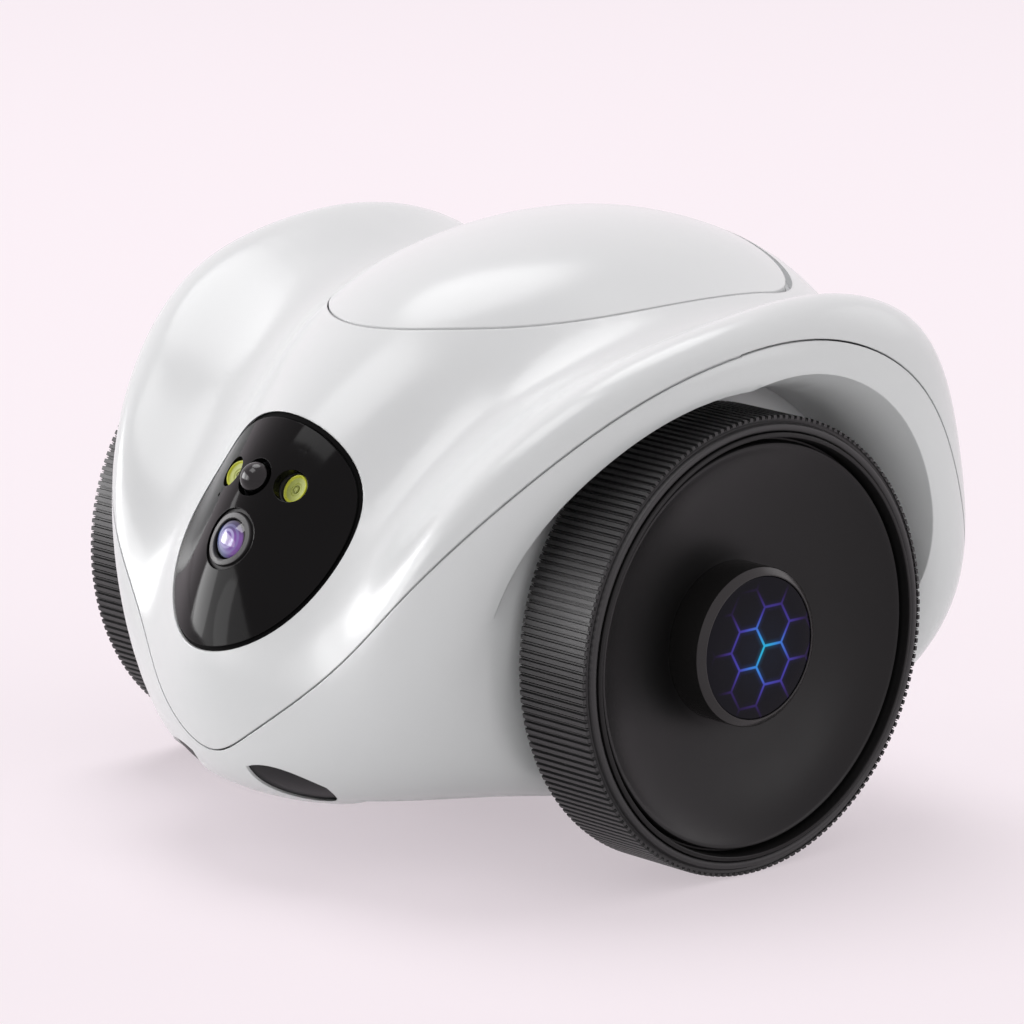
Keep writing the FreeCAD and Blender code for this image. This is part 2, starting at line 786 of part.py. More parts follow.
screw_seats = [belly_z(x, y) + screw_sink for x, y in screw_places]
screw_holes = [rod_z(screw_hole_radius, x, y, 0, boss_meet_z + 1) for x, y in screw_places]
screw_holes += [
    rod_z(screw_head_radius + fit_gap, x, y, 0, seat) for (x, y), seat in zip(screw_places, screw_seats)
]
pilot_holes = [rod_z(screw_shank_radius, x, y, boss_meet_z, screw_top + 1) for x, y in screw_places]


def cross_slot(x, y, top, head_radius):
    """Cross recess of a screw head that is seen from below."""
    long_half = head_radius * 0.65
    short_half = head_radius * 0.14
    return [
        box((x - wide, y - deep, 0), (x + wide, y + deep, top))
        for wide, deep in ((long_half, short_half), (short_half, long_half))
    ]


screws = []
for (x, y), seat in zip(screw_places, screw_seats):
    head = rod_z(screw_head_radius, x, y, seat - screw_head_height, seat).cut(
        cross_slot(x, y, seat - screw_head_height * 0.6, screw_head_radius)
    )
    screws.append(head.fuse(rod_z(screw_shank_radius, x, y, seat, screw_top)).removeSplitter())
save("shell_screws", screws)

# ---------------------------------------------------------------------------
# Belly: ledge, battery cover, battery pack, speaker, boards
# ---------------------------------------------------------------------------
ledge_z = belly_floor_z


def bay(half_x, half_y, low, high):
    """A block of the battery bay, centred on it."""
    return box((-half_x, battery_y - half_y, low), (half_x, battery_y + half_y, high))


open_x = ledge_half_x - ledge_width
open_y = ledge_half_y - ledge_width
ledge = bay(ledge_half_x, ledge_half_y, ledge_z, ledge_z + ledge_wall).cut(bay(open_x, open_y, 0, FAR))
cover_x = ledge_half_x - ledge_width / 3
cover_y = ledge_half_y - ledge_width / 3
cover_hole = bay(cover_x, cover_y, 0, ledge_z)
cover = bay(cover_x - cover_gap, cover_y - cover_gap, ground_clearance, ledge_z)
cover_screws = []
for name, sign in sides:
    x = sign * (cover_x - cover_gap - cover_screw_inset)
    seat = ground_clearance + cover_screw_head + cover_screw_sink
    cover = cover.cut(rod_z(cover_screw_shank + running_gap, x, battery_y, 0, FAR))
    cover = cover.cut(rod_z(cover_screw_radius + running_gap, x, battery_y, 0, seat))
    ledge = ledge.cut(rod_z(cover_screw_shank, x, battery_y, 0, FAR))
    head = rod_z(cover_screw_radius, x, battery_y, seat - cover_screw_head, seat)
    head = head.cut(cross_slot(x, battery_y, seat - cover_screw_head / 2, cover_screw_radius))
    shank = rod_z(cover_screw_shank, x, battery_y, seat, ledge_z + ledge_wall)
    cover_screws.append(head.fuse(shank).removeSplitter())
save("battery_cover", cover)
save("cover_screws", cover_screws)
cell_z = ledge_z + ledge_wall + battery_radius
cells = [
    rod_x(battery_radius, -battery_length / 2, battery_length / 2, battery_y + place * battery_pitch, cell_z)
    for place in (-0.5, 0.5)
]
save("battery_pack", cells)

speaker = rod_z(speaker_radius, 0, speaker_y, ledge_z, ledge_z + speaker_height * 0.4)
magnet = rod_z(speaker_radius * 0.6, 0, speaker_y, ledge_z, ledge_z + speaker_height)
save("speaker", speaker.fuse(magnet).removeSplitter())
speaker_holes = [rod_z(speaker_hole_radius, 0, speaker_y, 0, ledge_z)]
for ring in (1, 2):
    for k in range(6 * ring):
        turn = 2 * math.pi * k / (6 * ring)
        reach = ring * speaker_hole_pitch
        x = reach * math.cos(turn)
        y = speaker_y + reach * math.sin(turn)
        speaker_holes.append(rod_z(speaker_hole_radius, x, y, 0, ledge_z))

board_top = main_board_z + board_wall
main_board = box(
    (-main_board_half, main_board_front_y, main_board_z), (main_board_half, main_board_rear_y, board_top)
)
boss_space = [rod_z(boss_radius + fit_gap, x, y, 0, FAR) for x, y in screw_places]
main_board = main_board.common(void(shell_wall + main_board_margin)).cut(boss_space)
parts_on_board = [
    box((x - wide / 2, y - deep / 2, board_top), (x + wide / 2, y + deep / 2, board_top + high))
    for x, y, wide, deep, high in board_parts
]
save("main_board", [main_board] + parts_on_board)
post_places = [(sign * post_x, y) for name, sign in sides for y in (post_front_y, post_rear_y)]
posts = [rod_z(post_radius, x, y, ledge_z - 1, main_board_z) for x, y in post_places]

# ---------------------------------------------------------------------------
# Drive: gear motors, brackets, bushes and wheels
# ---------------------------------------------------------------------------
over = 1.0  # of a cutting tool past the face that it opens
bush_bosses = []
bush_holes = []
bush_end = well_x - shell_wall - bush_boss_length
gearbox_end = gearbox_x + gearbox_length
for name, sign in sides:
    bush_bosses.append(rod_x(bush_boss_radius, sign * bush_end, sign * (well_x - shell_wall / 2), 0, axle_z))
    bush_holes.append(rod_x(bush_radius, sign * (bush_end - over), sign * (well_x + over), 0, axle_z))

tyre_face = half_width


def wheel_point(radius, out):
    """Point of a wheel's section: radius from the axle, and reach past the tyre's outer face."""
    return Vector(tyre_face + out, 0, axle_z + radius)


def turned(edges):
    """Solid of revolution about the axle."""
    return Part.Face(Part.Wire(edges)).revolve(Vector(0, 0, axle_z), X_AXIS, 360)


hub_floor = -dish_depth
hub_foot = hub_radius + hub_foot_gap
boss_out = well_x + bush_flange_wall + fit_gap - tyre_face
floor_front = [
    wheel_point(dish_radius - dish_fillet, -dish_edge_depth - 0.4),
    wheel_point(dish_radius * 0.82, hub_floor * 0.5),
    wheel_point(dish_radius * 0.6, hub_floor * 0.81),
    wheel_point(hub_foot, hub_floor),
]
floor_back = [point - X_AXIS * rim_wall for point in floor_front[::-1]]
rim_front = [
    wheel_point(rim_radius, -tyre_width), wheel_point(rim_radius, ring_proud - ring_bevel),
    wheel_point(rim_ring_radius + ring_flat / 2, ring_proud),
    wheel_point(rim_ring_radius - ring_flat / 2, ring_proud),
    wheel_point(rim_ring_radius - ring_bevel, ring_proud - ring_bevel / 2),
    wheel_point(dish_radius, -dish_edge_depth * 0.6),
    wheel_point(dish_radius - dish_fillet / 4, -dish_edge_depth),
    floor_front[0],
]
rim_inside = rim_radius - rim_wall
rim_back = [
    floor_back[-1], wheel_point(rim_inside, floor_back[-1].x - tyre_face - ring_bevel),
    wheel_point(rim_inside, -tyre_width), rim_front[0],
]
rim_middle = [
    floor_front[-1], wheel_point(0, hub_floor), wheel_point(0, boss_out),
    wheel_point(rim_boss_radius, boss_out), wheel_point(rim_boss_radius, hub_floor - rim_wall), floor_back[0],
]
rim_edges = polyline(rim_front) + [curve_edge(floor_front)] + polyline(rim_middle)
rim = turned(rim_edges + [curve_edge(floor_back)] + polyline(rim_back))
shaft_end = tyre_face + hub_floor - shaft_sink
shaft_flat = box((well_x + bush_flange_wall, -FAR, axle_z + shaft_radius * 0.8), (FAR, FAR, FAR))
shaft_start = gearbox_end - shaft_in_gearbox
shaft = rod_x(shaft_radius, shaft_start, shaft_end, 0, axle_z).cut(shaft_flat)
screw_end = shaft_end - wheel_screw_length
shaft = shaft.cut(rod_x(wheel_screw_shank, screw_end, FAR, 0, axle_z))
rim = rim.cut(rod_x(shaft_radius, 0, shaft_end, 0, axle_z).cut(shaft_flat))
rim = rim.cut(rod_x(wheel_screw_shank, 0, FAR, 0, axle_z))
screw_face = tyre_face + hub_floor
wheel_screw = rod_x(wheel_screw_radius, screw_face, screw_face + wheel_screw_head, 0, axle_z)
slot_x = screw_face + wheel_screw_head / 2
for wide, high in ((wheel_slot_half, wheel_slot_wall / 2), (wheel_slot_wall / 2, wheel_slot_half)):
    wheel_screw = wheel_screw.cut(box((slot_x, -wide, axle_z - high), (FAR, wide, axle_z + high)))
wheel_screw = wheel_screw.fuse(rod_x(wheel_screw_shank, screw_end, screw_face, 0, axle_z)).removeSplitter()

tyre_outline = [
    wheel_point(rim_radius, -tyre_width), wheel_point(wheel_radius - tyre_round, -tyre_width),
    wheel_point(wheel_radius, tyre_round - tyre_width), wheel_point(wheel_radius, -tyre_round),
    wheel_point(wheel_radius - tyre_round, 0), wheel_point(rim_radius, 0),
]
tyre = turned(polyline(tyre_outline + tyre_outline[:1]))

cap_back = hub_floor
disc_seat = hub_proud - light_disc_sink - light_disc_wall
inner_hub = hub_radius - hub_wall
disc_ledge = light_disc_radius - hub_ledge
board_seat = hub_proud - hub_board_depth
cap_outline = [
    wheel_point(hub_radius, cap_back), wheel_point(hub_radius, hub_proud - hub_bevel),
    wheel_point(hub_radius - hub_bevel, hub_proud), wheel_point(light_disc_radius, hub_proud),
    wheel_point(light_disc_radius, disc_seat), wheel_point(disc_ledge, disc_seat),
    wheel_point(disc_ledge, board_seat + fit_gap), wheel_point(inner_hub, board_seat),
    wheel_point(inner_hub, cap_back),
]
hub_cap = turned(polyline(cap_outline + cap_outline[:1]))
disc = rod_x(light_disc_radius, tyre_face + disc_seat, tyre_face + disc_seat + light_disc_wall, 0, axle_z)
board_face = tyre_face + board_seat
hub_board = rod_x(inner_hub, board_face - board_wall, board_face, 0, axle_z)
lamps = []
half_lamp = hub_lamp_size / 2
for k in range(7):
    turn = 2 * math.pi * k / 6
    reach = 0 if k == 6 else hub_lamp_reach
    y = reach * math.cos(turn)
    z = axle_z + reach * math.sin(turn)
    high = board_face + hub_lamp_height
    lamps.append(box((board_face, y - half_lamp, z - half_lamp), (high, y + half_lamp, z + half_lamp)))

bush = rod_x(bush_radius, bush_end, well_x + bush_flange_wall, 0, axle_z)
bush = bush.fuse(rod_x(bush_flange_radius, well_x, well_x + bush_flange_wall, 0, axle_z)).removeSplitter()
bush = bush.cut(rod_x(shaft_radius + running_gap, 0, FAR, 0, axle_z))

gear_half = gearbox_size / 2
gearbox = box((gearbox_x, -gear_half, axle_z - gear_half), (gearbox_end, gear_half, axle_z + gear_half))
gearbox = gearbox.fuse(rod_x(motor_radius, gearbox_x - motor_length, gearbox_x, 0, axle_z)).removeSplitter()
gearbox = gearbox.cut(rod_x(shaft_radius + running_gap, shaft_start - over, FAR, 0, axle_z))
half_bracket = bracket_width / 2
bracket_top = axle_z + gear_half + bracket_wall
bracket_low = (gearbox_end, -half_bracket, belly_floor_z)
bracket = box(bracket_low, (gearbox_end + bracket_wall, half_bracket, bracket_top))
foot_low = (gearbox_end - bracket_foot, -half_bracket, belly_floor_z)
foot = box(foot_low, (gearbox_end, half_bracket, belly_floor_z + bracket_wall))
bracket = bracket.fuse(foot).removeSplitter().cut(rod_x(shaft_radius + bracket_hole_gap, 0, FAR, 0, axle_z))

for name, sign in sides:
    turn = (lambda shape: shape) if sign > 0 else mirrored
    save("tyre_" + name, turn(tyre))
    save("wheel_rim_" + name, turn(rim))
    save("hub_cap_" + name, turn(hub_cap))
    save("hub_light_disc_" + name, turn(disc))
    save("hub_light_board_" + name, [turn(shape) for shape in [hub_board] + lamps])
    save("drive_shaft_" + name, turn(shaft))
    save("wheel_screw_" + name, turn(wheel_screw))
    save("gear_motor_" + name, turn(gearbox))
    save("motor_bracket_" + name, turn(bracket))

save("axle_bushes", [bush, mirrored(bush)])

# ---------------------------------------------------------------------------
# Hopper, its collar under the shell's edge, and the toss rotor's housing
# ---------------------------------------------------------------------------
chamber_radius = rotor_radius + rotor_gap
housing_half = rotor_half + rotor_gap + housing_wall
inner_half = rotor_half + rotor_gap
housing = fuse([
    rod_x(chamber_radius + housing_wall, -housing_half, housing_half, rotor_y, rotor_z),
    box(
        (-housing_half, rotor_y, spout_low_z - housing_wall),
        (housing_half, spout_end_y, spout_high_z + housing_wall),
    ),
])
chamber = rod_x(chamber_radius, -inner_half, inner_half, rotor_y, rotor_z)
spout = box((-inner_half, rotor_y, spout_low_z), (inner_half, spout_end_y + over, spout_high_z))
chamber_reach = chamber_radius + housing_wall + over
inlet_low = (-inner_half, rotor_y - chamber_reach, rotor_z + inlet_rise)
inlet = box(inlet_low, (inner_half, rotor_y, rotor_z + chamber_reach))
legs = []
for name, sign in sides:
    middle = sign * (housing_leg_x + housing_leg_width / 2)
    low = (middle - housing_leg_width / 2, rotor_y - housing_leg_length / 2, belly_floor_z)
    legs.append(box(low, (middle + housing_leg_width / 2, rotor_y + housing_leg_length / 2, rotor_z)))
motor_hole = rod_x(rotor_shaft_radius + running_gap, -FAR, FAR, rotor_y, rotor_z)
housing = fuse([housing] + legs).cut([chamber, spout, inlet, motor_hole]).common(void(shell_wall + fit_gap))
save("rotor_housing", housing)

hub = rod_x(rotor_hub_radius, -rotor_half, rotor_half, rotor_y, rotor_z)
vanes = []
for k in range(rotor_vanes):
    half_vane = rotor_vane_wall / 2
    low = (-rotor_half, rotor_y - half_vane, rotor_z)
    vane = box(low, (rotor_half, rotor_y + half_vane, rotor_z + rotor_radius))
    vane.rotate(Vector(0, rotor_y, rotor_z), X_AXIS, 360 / rotor_vanes * (k + 0.5))
    vanes.append(vane)
rotor = fuse([hub] + vanes).cut(rod_x(rotor_shaft_radius, -FAR, FAR, rotor_y, rotor_z))
save("toss_rotor", rotor)
rotor_motor_x = housing_half + fit_gap
shaft_stop = rotor_motor_x + rotor_shaft_in_motor
save("rotor_shaft", rod_x(rotor_shaft_radius, -housing_half, shaft_stop, rotor_y, rotor_z))
rotor_motor = rod_x(rotor_motor_radius, rotor_motor_x, rotor_motor_x + rotor_motor_length, rotor_y, rotor_z)
motor_bore = rod_x(rotor_shaft_radius + running_gap, 0, shaft_stop + fit_gap, rotor_y, rotor_z)
rotor_motor = rotor_motor.cut(motor_bore)
save("rotor_motor", rotor_motor)


def hexagon(half_front, front, half, middle, rear, z):
    return [
        Vector(-half_front, front, z), Vector(half_front, front, z), Vector(half, middle, z),
        Vector(half, rear, z), Vector(-half, rear, z), Vector(-half, middle, z),
    ]


def funnel(inset):
    """Hopper's outer or inner form: upright above the break, drawn in below it."""
    top = hexagon(
        hopper_front_half - inset, hopper_front_y + inset, hopper_half - inset, hopper_side_y + inset / 2,
        hopper_rear_y - inset, hopper_break_z,
    )
    low_half = housing_half - inset
    low_front = rotor_y - chamber_radius - funnel_lead + inset
    low_middle = low_front + funnel_corner
    bottom = hexagon(low_half * 0.9, low_front, low_half, low_middle, rotor_y - inset, hopper_bottom_z)
    faces = []
    for points in (bottom, top):
        faces.append(Part.makePolygon(points + points[:1]))
    cone = Part.makeLoft(faces, True, True)
    column = Part.Face(faces[1]).extrude(Z_AXIS * FAR)
    return fuse([cone, column])


seat_depth = lid_wall + seal_wall + fit_gap  # of the hopper's seat for the seal
deck_depth = lid_wall + magnet_wall + catch_gap + catch_wall  # of the tray round the funnel
collar_depth = shell_wall + fit_gap
front_of_hinge = box((-FAR, -FAR, 0), (FAR, hinge_y - collar_rear_gap, FAR))
collar = lid_prism(collar_outside).cut(lid_prism(-collar_inside)).common(front_of_hinge)
collar = between(collar, collar_depth, collar_depth + collar_wall)
seat_ring = lid_prism(fit_gap - collar_inside + deck_wall).cut(lid_prism(-seal_inside - seal_width))
seat_ring = between(seat_ring, seat_depth, deck_depth + deck_wall)
deck = between(lid_prism(-collar_inside), deck_depth, deck_depth + deck_wall)
hopper = fuse([deck, funnel(0).common(void(deck_depth)), seat_ring, collar])
clearance = chamber_radius + housing_wall + fit_gap
chamber_clearance = rod_x(clearance, -housing_half - over, housing_half + over, rotor_y, rotor_z)
hopper = hopper.cut([funnel(hopper_wall), chamber_clearance])
save("treat_hopper", hopper)

# ---------------------------------------------------------------------------
# Treat lid, its hinge, seal and magnet
# ---------------------------------------------------------------------------
def side_plate(points, low_x, high_x):
    """Plate between two X planes, from its outline seen from the side."""
    corners = [Vector(low_x, y, z) for y, z in points]
    return Part.Face(Part.makePolygon(corners + corners[:1])).extrude(X_AXIS * (high_x - low_x))


knuckle_start = lid_knuckle_half + knuckle_gap
knuckle_end = knuckle_start + shell_knuckle_length
lid_edge_y = lid_rear_y - lid_swing_gap
tongue_y = lid_edge_y - tongue_overlap
tongue_outline = [
    (tongue_y, top_z(0, tongue_y) - lid_wall / 2), (lid_edge_y, top_z(0, lid_edge_y) - tongue_sink),
    (hinge_y, hinge_z + knuckle_radius * 0.8), (hinge_y, hinge_z - knuckle_radius / 2),
    (tongue_y, top_z(0, tongue_y) - lid_wall - tongue_drop),
]
lid_shell = between(lid_prism(0, lid_swing_gap), 0, lid_wall)
lid_knuckle = rod_x(knuckle_radius, -lid_knuckle_half, lid_knuckle_half, hinge_y, hinge_z)
tongue = side_plate(tongue_outline, -lid_knuckle_half, lid_knuckle_half)
lid = fuse([lid_shell, tongue, lid_knuckle])
lid = lid.cut(rod_x(hinge_pin_radius + running_gap, -FAR, FAR, hinge_y, hinge_z))
save("treat_lid", lid)
save("hinge_pin", rod_x(hinge_pin_radius, -knuckle_end, knuckle_end, hinge_y, hinge_z))
seal_ring = lid_prism(-seal_inside).cut(lid_prism(-seal_inside - seal_width))
save("lid_seal", between(seal_ring, lid_wall, lid_wall + seal_wall))
magnet_rod = rod_z(magnet_radius, 0, magnet_y, axle_z, FAR)
save("lid_magnet", between(magnet_rod, lid_wall, lid_wall + magnet_wall))
save("catch_plate", between(magnet_rod, deck_depth - catch_wall, deck_depth))

# hinge side of the upper shell: its knuckles, a gutter under the lid's rear edge, and a trough under the
# lid's knuckle
front_of_gutter = box((-FAR, -FAR, 0), (FAR, hinge_y - collar_rear_gap + fit_gap, FAR))
barrel_space = rod_x(knuckle_radius + knuckle_gap, -knuckle_start, knuckle_start, hinge_y, hinge_z)
knuckle_reach = knuckle_radius + knuckle_gap
tongue_space = fuse([
    box((-knuckle_start, tongue_y, hinge_z - knuckle_reach), (knuckle_start, hinge_y, FAR)),
    box((-knuckle_start, hinge_y, hinge_z), (knuckle_start, hinge_y + knuckle_reach, FAR)),
])
gutter_ring = lid_prism(lid_gap + gutter_lap).cut([lid_prism(gutter_gap, lid_swing_gap), front_of_gutter])
gutter = between(gutter_ring, shell_wall / 2, shell_wall + gutter_wall)
trough_reach = knuckle_reach + trough_wall
trough = rod_x(trough_reach, -knuckle_start - trough_wall, knuckle_start + trough_wall, hinge_y, hinge_z)
trough = trough.common(void(shell_wall / 2)).cut(box((-FAR, -FAR, 0), (FAR, lid_rear_y + lid_gap, FAR)))
shell_knuckles = [
    rod_x(knuckle_radius, sign * knuckle_start, sign * knuckle_end, hinge_y, hinge_z).common(hull)
    for name, sign in sides
]

# ---------------------------------------------------------------------------
# Outlet flap at the tail, on its pin, closed by a small spring
# ---------------------------------------------------------------------------
flap_hinge_y = tail_y(flap_half, flap_hinge_z) - flap_barrel_radius
flap_reach = flap_barrel_radius + flap_gap
flap_plate = between(box((-flap_half, 0, flap_low_z), (flap_half, FAR, flap_hinge_z)), 0, flap_wall)
flap_barrel_end = flap_half - spring_turns * spring_pitch - 2 * (spring_wire + fit_gap)
flap_barrel = rod_x(flap_barrel_radius, -flap_half, flap_barrel_end, flap_hinge_y, flap_hinge_z)
pin_space = rod_x(flap_pin_radius + running_gap, -FAR, FAR, flap_hinge_y, flap_hinge_z)
spring_space = rod_x(flap_reach, flap_barrel_end, flap_half + over, flap_hinge_y, flap_hinge_z)
flap = fuse([flap_plate, flap_barrel]).cut([pin_space, spring_space])
save("outlet_flap", flap)
flap_pin_end = flap_half + flap_ear
flap_pin = rod_x(flap_pin_radius, -flap_pin_end, flap_pin_end, flap_hinge_y, flap_hinge_z)
save("flap_pin", flap_pin)

coil_radius = flap_pin_radius + 2 * running_gap + spring_wire
coil_start = flap_barrel_end + fit_gap + spring_wire
route = [Vector(coil_start, flap_hinge_y - coil_radius, flap_hinge_z - spring_leg)]
for k in range(8 * spring_turns + 1):
    turn = 2 * math.pi * k / 8
    route.append(Vector(
        coil_start + spring_pitch * k / 8, flap_hinge_y - coil_radius * math.cos(turn),
        flap_hinge_z + coil_radius * math.sin(turn),
    ))
spring_line = Part.BSplineCurve()
spring_line.interpolate(route)
spring_path = Part.Wire([spring_line.toShape()])
spring_start = spring_line.tangent(spring_line.FirstParameter)[0]
ring = Part.Wire([Part.makeCircle(spring_wire, route[0], spring_start)])
save("flap_spring", spring_path.makePipeShell([ring], True, False))

flap_space = flap_half + flap_gap
opening_low = (-flap_space, spout_end_y - flap_opening_depth, flap_low_z - flap_gap)
flap_opening = box(opening_low, (flap_space, FAR, flap_hinge_z))
barrel_slot = fuse([
    rod_x(flap_reach, -flap_space, flap_space, flap_hinge_y, flap_hinge_z),
    box((-flap_space, flap_hinge_y, flap_hinge_z), (flap_space, FAR, flap_hinge_z + flap_reach)),
])
ears = []
for name, sign in sides:
    low_x, high_x = sorted((sign * flap_space, sign * (flap_space + flap_ear - flap_gap)))
    ear_low = (low_x, flap_hinge_y - flap_ear_reach, flap_hinge_z - flap_ear_reach)
    ear = box(ear_low, (high_x, FAR, flap_hinge_z + flap_ear_reach))
    ears.append(ear.common(void(shell_wall / 2)))

# ---------------------------------------------------------------------------
# Leaf windows under the chin, with the floor sensors behind them
# ---------------------------------------------------------------------------
floor_aim = aim(-floor_sensor_tilt)
leaf_pockets = []
leaf_pads = []
sensor_holes = []
floor_sensors = []
for name, sign in sides:
    leaf = leaf_prism(sign)
    save("floor_window_" + name, between(leaf, leaf_sink, leaf_sink + leaf_wall))
    leaf_pockets.append(leaf.cut(void(leaf_sink + leaf_wall)))
    leaf_pads.append(between(leaf, leaf_sink + leaf_wall, shell_wall + leaf_wall))
    point = Vector(sign * leaf_centre[0], skin_y(leaf_centre[0], leaf_centre[1]), leaf_centre[1])
    deep = void(leaf_sink + leaf_wall)
    sensor_holes.append(stick(floor_sensor_radius, point, floor_aim, bore, bore).common(deep))
    sensor = stick(floor_sensor_radius - fit_gap, point, floor_aim, bore, floor_sensor_length + leaf_wall)
    floor_sensors.append(sensor.common(deep))
save("floor_sensors", floor_sensors)

# ---------------------------------------------------------------------------
# Rear panel: power button over its switch, charging socket, and their board
# ---------------------------------------------------------------------------
recess = box((-panel_half, panel_y, panel_low_z), (panel_half, FAR, panel_high_z))
liner = box(
    (-panel_half - shell_wall, panel_y - shell_wall, panel_low_z - shell_wall),
    (panel_half + shell_wall, FAR, panel_high_z + shell_wall),
).common(void(shell_wall / 2)).common(lower_side)
panel_inner_y = panel_y - shell_wall


def rod_y(radius, x, z, y0, y1):
    return rod(radius, (x, y0, z), Y_AXIS, y1 - y0)


button_front = panel_y + button_proud
button_back = button_front - button_length
button = fuse([
    rod_y(button_radius, button_x, button_z, button_back, button_front),
    rod_y(
        button_radius + button_flange, button_x, button_z,
        panel_inner_y - fit_gap - button_flange_wall, panel_inner_y - fit_gap,
    ),
])
save("power_button", button)
socket_front = panel_y - socket_sink
socket_low = Vector(socket_x - socket_width / 2, rear_board_y, button_z - socket_height / 2)
socket_block = Part.makeBox(socket_width, socket_front - rear_board_y, socket_height, socket_low)
socket_bore = Part.makeBox(
    socket_width - 2 * socket_wall, FAR, socket_height - 2 * socket_wall,
    socket_low + Vector(socket_wall, socket_wall, socket_wall),
)
half_tongue = socket_tongue_wall / 2
socket_tongue = box(
    (socket_x - socket_width / 4, rear_board_y, button_z - half_tongue),
    (socket_x + socket_width / 4, socket_front - socket_tongue_sink, button_z + half_tongue),
)
save("charging_socket", fuse([socket_block.cut(socket_bore), socket_tongue]))
rear_board = box(
    (-rear_board_half, rear_board_y - board_wall, panel_low_z + rear_board_margin),
    (rear_board_half, rear_board_y, panel_high_z - rear_board_margin),
)
switch_front = button_back - button_travel - switch_gap
switch = box(
    (button_x - switch_size / 2, rear_board_y, button_z - switch_size / 2),
    (button_x + switch_size / 2, switch_front, button_z + switch_size / 2),
)
save("rear_board", [rear_board, switch])
panel_posts = []
for name, sign in sides:
    x = sign * (rear_board_half - panel_post_radius)
    panel_posts.append(rod_y(panel_post_radius, x, button_z, rear_board_y, panel_y - shell_wall / 2))
panel_holes = [
    rod_y(button_radius + fit_gap / 2, button_x, button_z, rear_board_y, FAR),
    box(
        (socket_x - socket_width / 2 - fit_gap, rear_board_y, button_z - socket_height / 2 - fit_gap),
        (socket_x + socket_width / 2 + fit_gap, FAR, button_z + socket_height / 2 + fit_gap),
    ),
]

# ---------------------------------------------------------------------------
# Rear caster under the tail
# ---------------------------------------------------------------------------
caster_axle_y = caster_y + caster_trail
plate_top = caster_pocket_top_z - caster_end_gap
plate_bottom = plate_top - fork_plate_wall
bore_top = caster_pocket_top_z + caster_bore_length
post_top = bore_top + caster_end_gap
leg_inner = caster_wheel_width / 2 + caster_side_gap
leg_outer = leg_inner + fork_wall
fork_legs = []
for name, sign in sides:
    low_x, high_x = sorted((sign * leg_inner, sign * leg_outer))
    eye = rod_x(fork_eye_radius, low_x, high_x, caster_axle_y, caster_wheel_radius)
    arm = side_plate([
        (caster_y - arm_front, plate_bottom + arm_sink), (caster_y + arm_rear, plate_bottom + arm_sink),
        (caster_axle_y + fork_eye_radius, caster_wheel_radius),
        (caster_axle_y - fork_eye_radius, caster_wheel_radius),
    ], low_x, high_x)
    fork_legs.append(fuse([arm, eye]))
fork = fuse([
    rod_z(fork_plate_radius, 0, caster_y, plate_bottom, plate_top),
    rod_z(fork_post_radius, 0, caster_y, plate_top, post_top),
    rod_z(caster_clip_radius, 0, caster_y, post_top, post_top + caster_clip_wall),
] + fork_legs)
axle_reach = leg_outer + caster_side_gap
fork = fork.cut(rod_x(caster_axle_radius, -FAR, FAR, caster_axle_y, caster_wheel_radius))
save("caster_fork", fork)
save("caster_axle", rod_x(caster_axle_radius, -axle_reach, axle_reach, caster_axle_y, caster_wheel_radius))
half_tread = caster_wheel_width / 2
caster_wheel = rod_x(caster_wheel_radius, -half_tread, half_tread, caster_axle_y, caster_wheel_radius)
rims = [edge for edge in caster_wheel.Edges if edge.Length > caster_wheel_radius * 6]
caster_wheel = caster_wheel.makeChamfer(caster_tread_chamfer, rims)
caster_space = rod_x(caster_axle_radius + running_gap, -FAR, FAR, caster_axle_y, caster_wheel_radius)
save("caster_wheel", caster_wheel.cut(caster_space))
caster_boss = rod_z(caster_boss_radius, 0, caster_y, ground_clearance, bore_top).common(outside)
caster_pocket = rod_z(caster_pocket_radius, 0, caster_y, 0, caster_pocket_top_z)
caster_bore = rod_z(fork_post_radius + running_gap, 0, caster_y, 0, FAR)

# ---------------------------------------------------------------------------
# The two shells, with everything that is moulded onto them
# ---------------------------------------------------------------------------
lid_hole = lid_prism(lid_gap).cut(gutter_ring.common(void(shell_wall)))
upper = fuse([casing.cut(upper_side)] + upper_bosses + [gutter, trough] + shell_knuckles + ears)
upper = upper.cut([
    lid_hole, window_hole.common(face_front), barrel_space, tongue_space,
    rod_x(hinge_pin_radius, -knuckle_end, knuckle_end, hinge_y, hinge_z),
    flap_pin, flap_opening, barrel_slot,
] + pilot_holes)
save("upper_shell", upper)
lower_ribs = lower_bosses + bush_bosses + posts + leaf_pads + panel_posts
lower_holes = screw_holes + bush_holes + speaker_holes + leaf_pockets + sensor_holes + panel_holes
lower = casing.common(lower_side).fuse([ledge, liner, caster_boss] + lower_ribs)
lower = lower.cut([cover_hole, recess, caster_pocket, caster_bore] + lower_holes)
save("lower_shell", lower)
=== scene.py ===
"""The looks of the treat tossing robot: finishes, turned and repeated pieces, floor and light."""

import json
import math

import bmesh
import bpy
from mathutils import Matrix, Vector
from mathutils.bvhtree import BVHTree


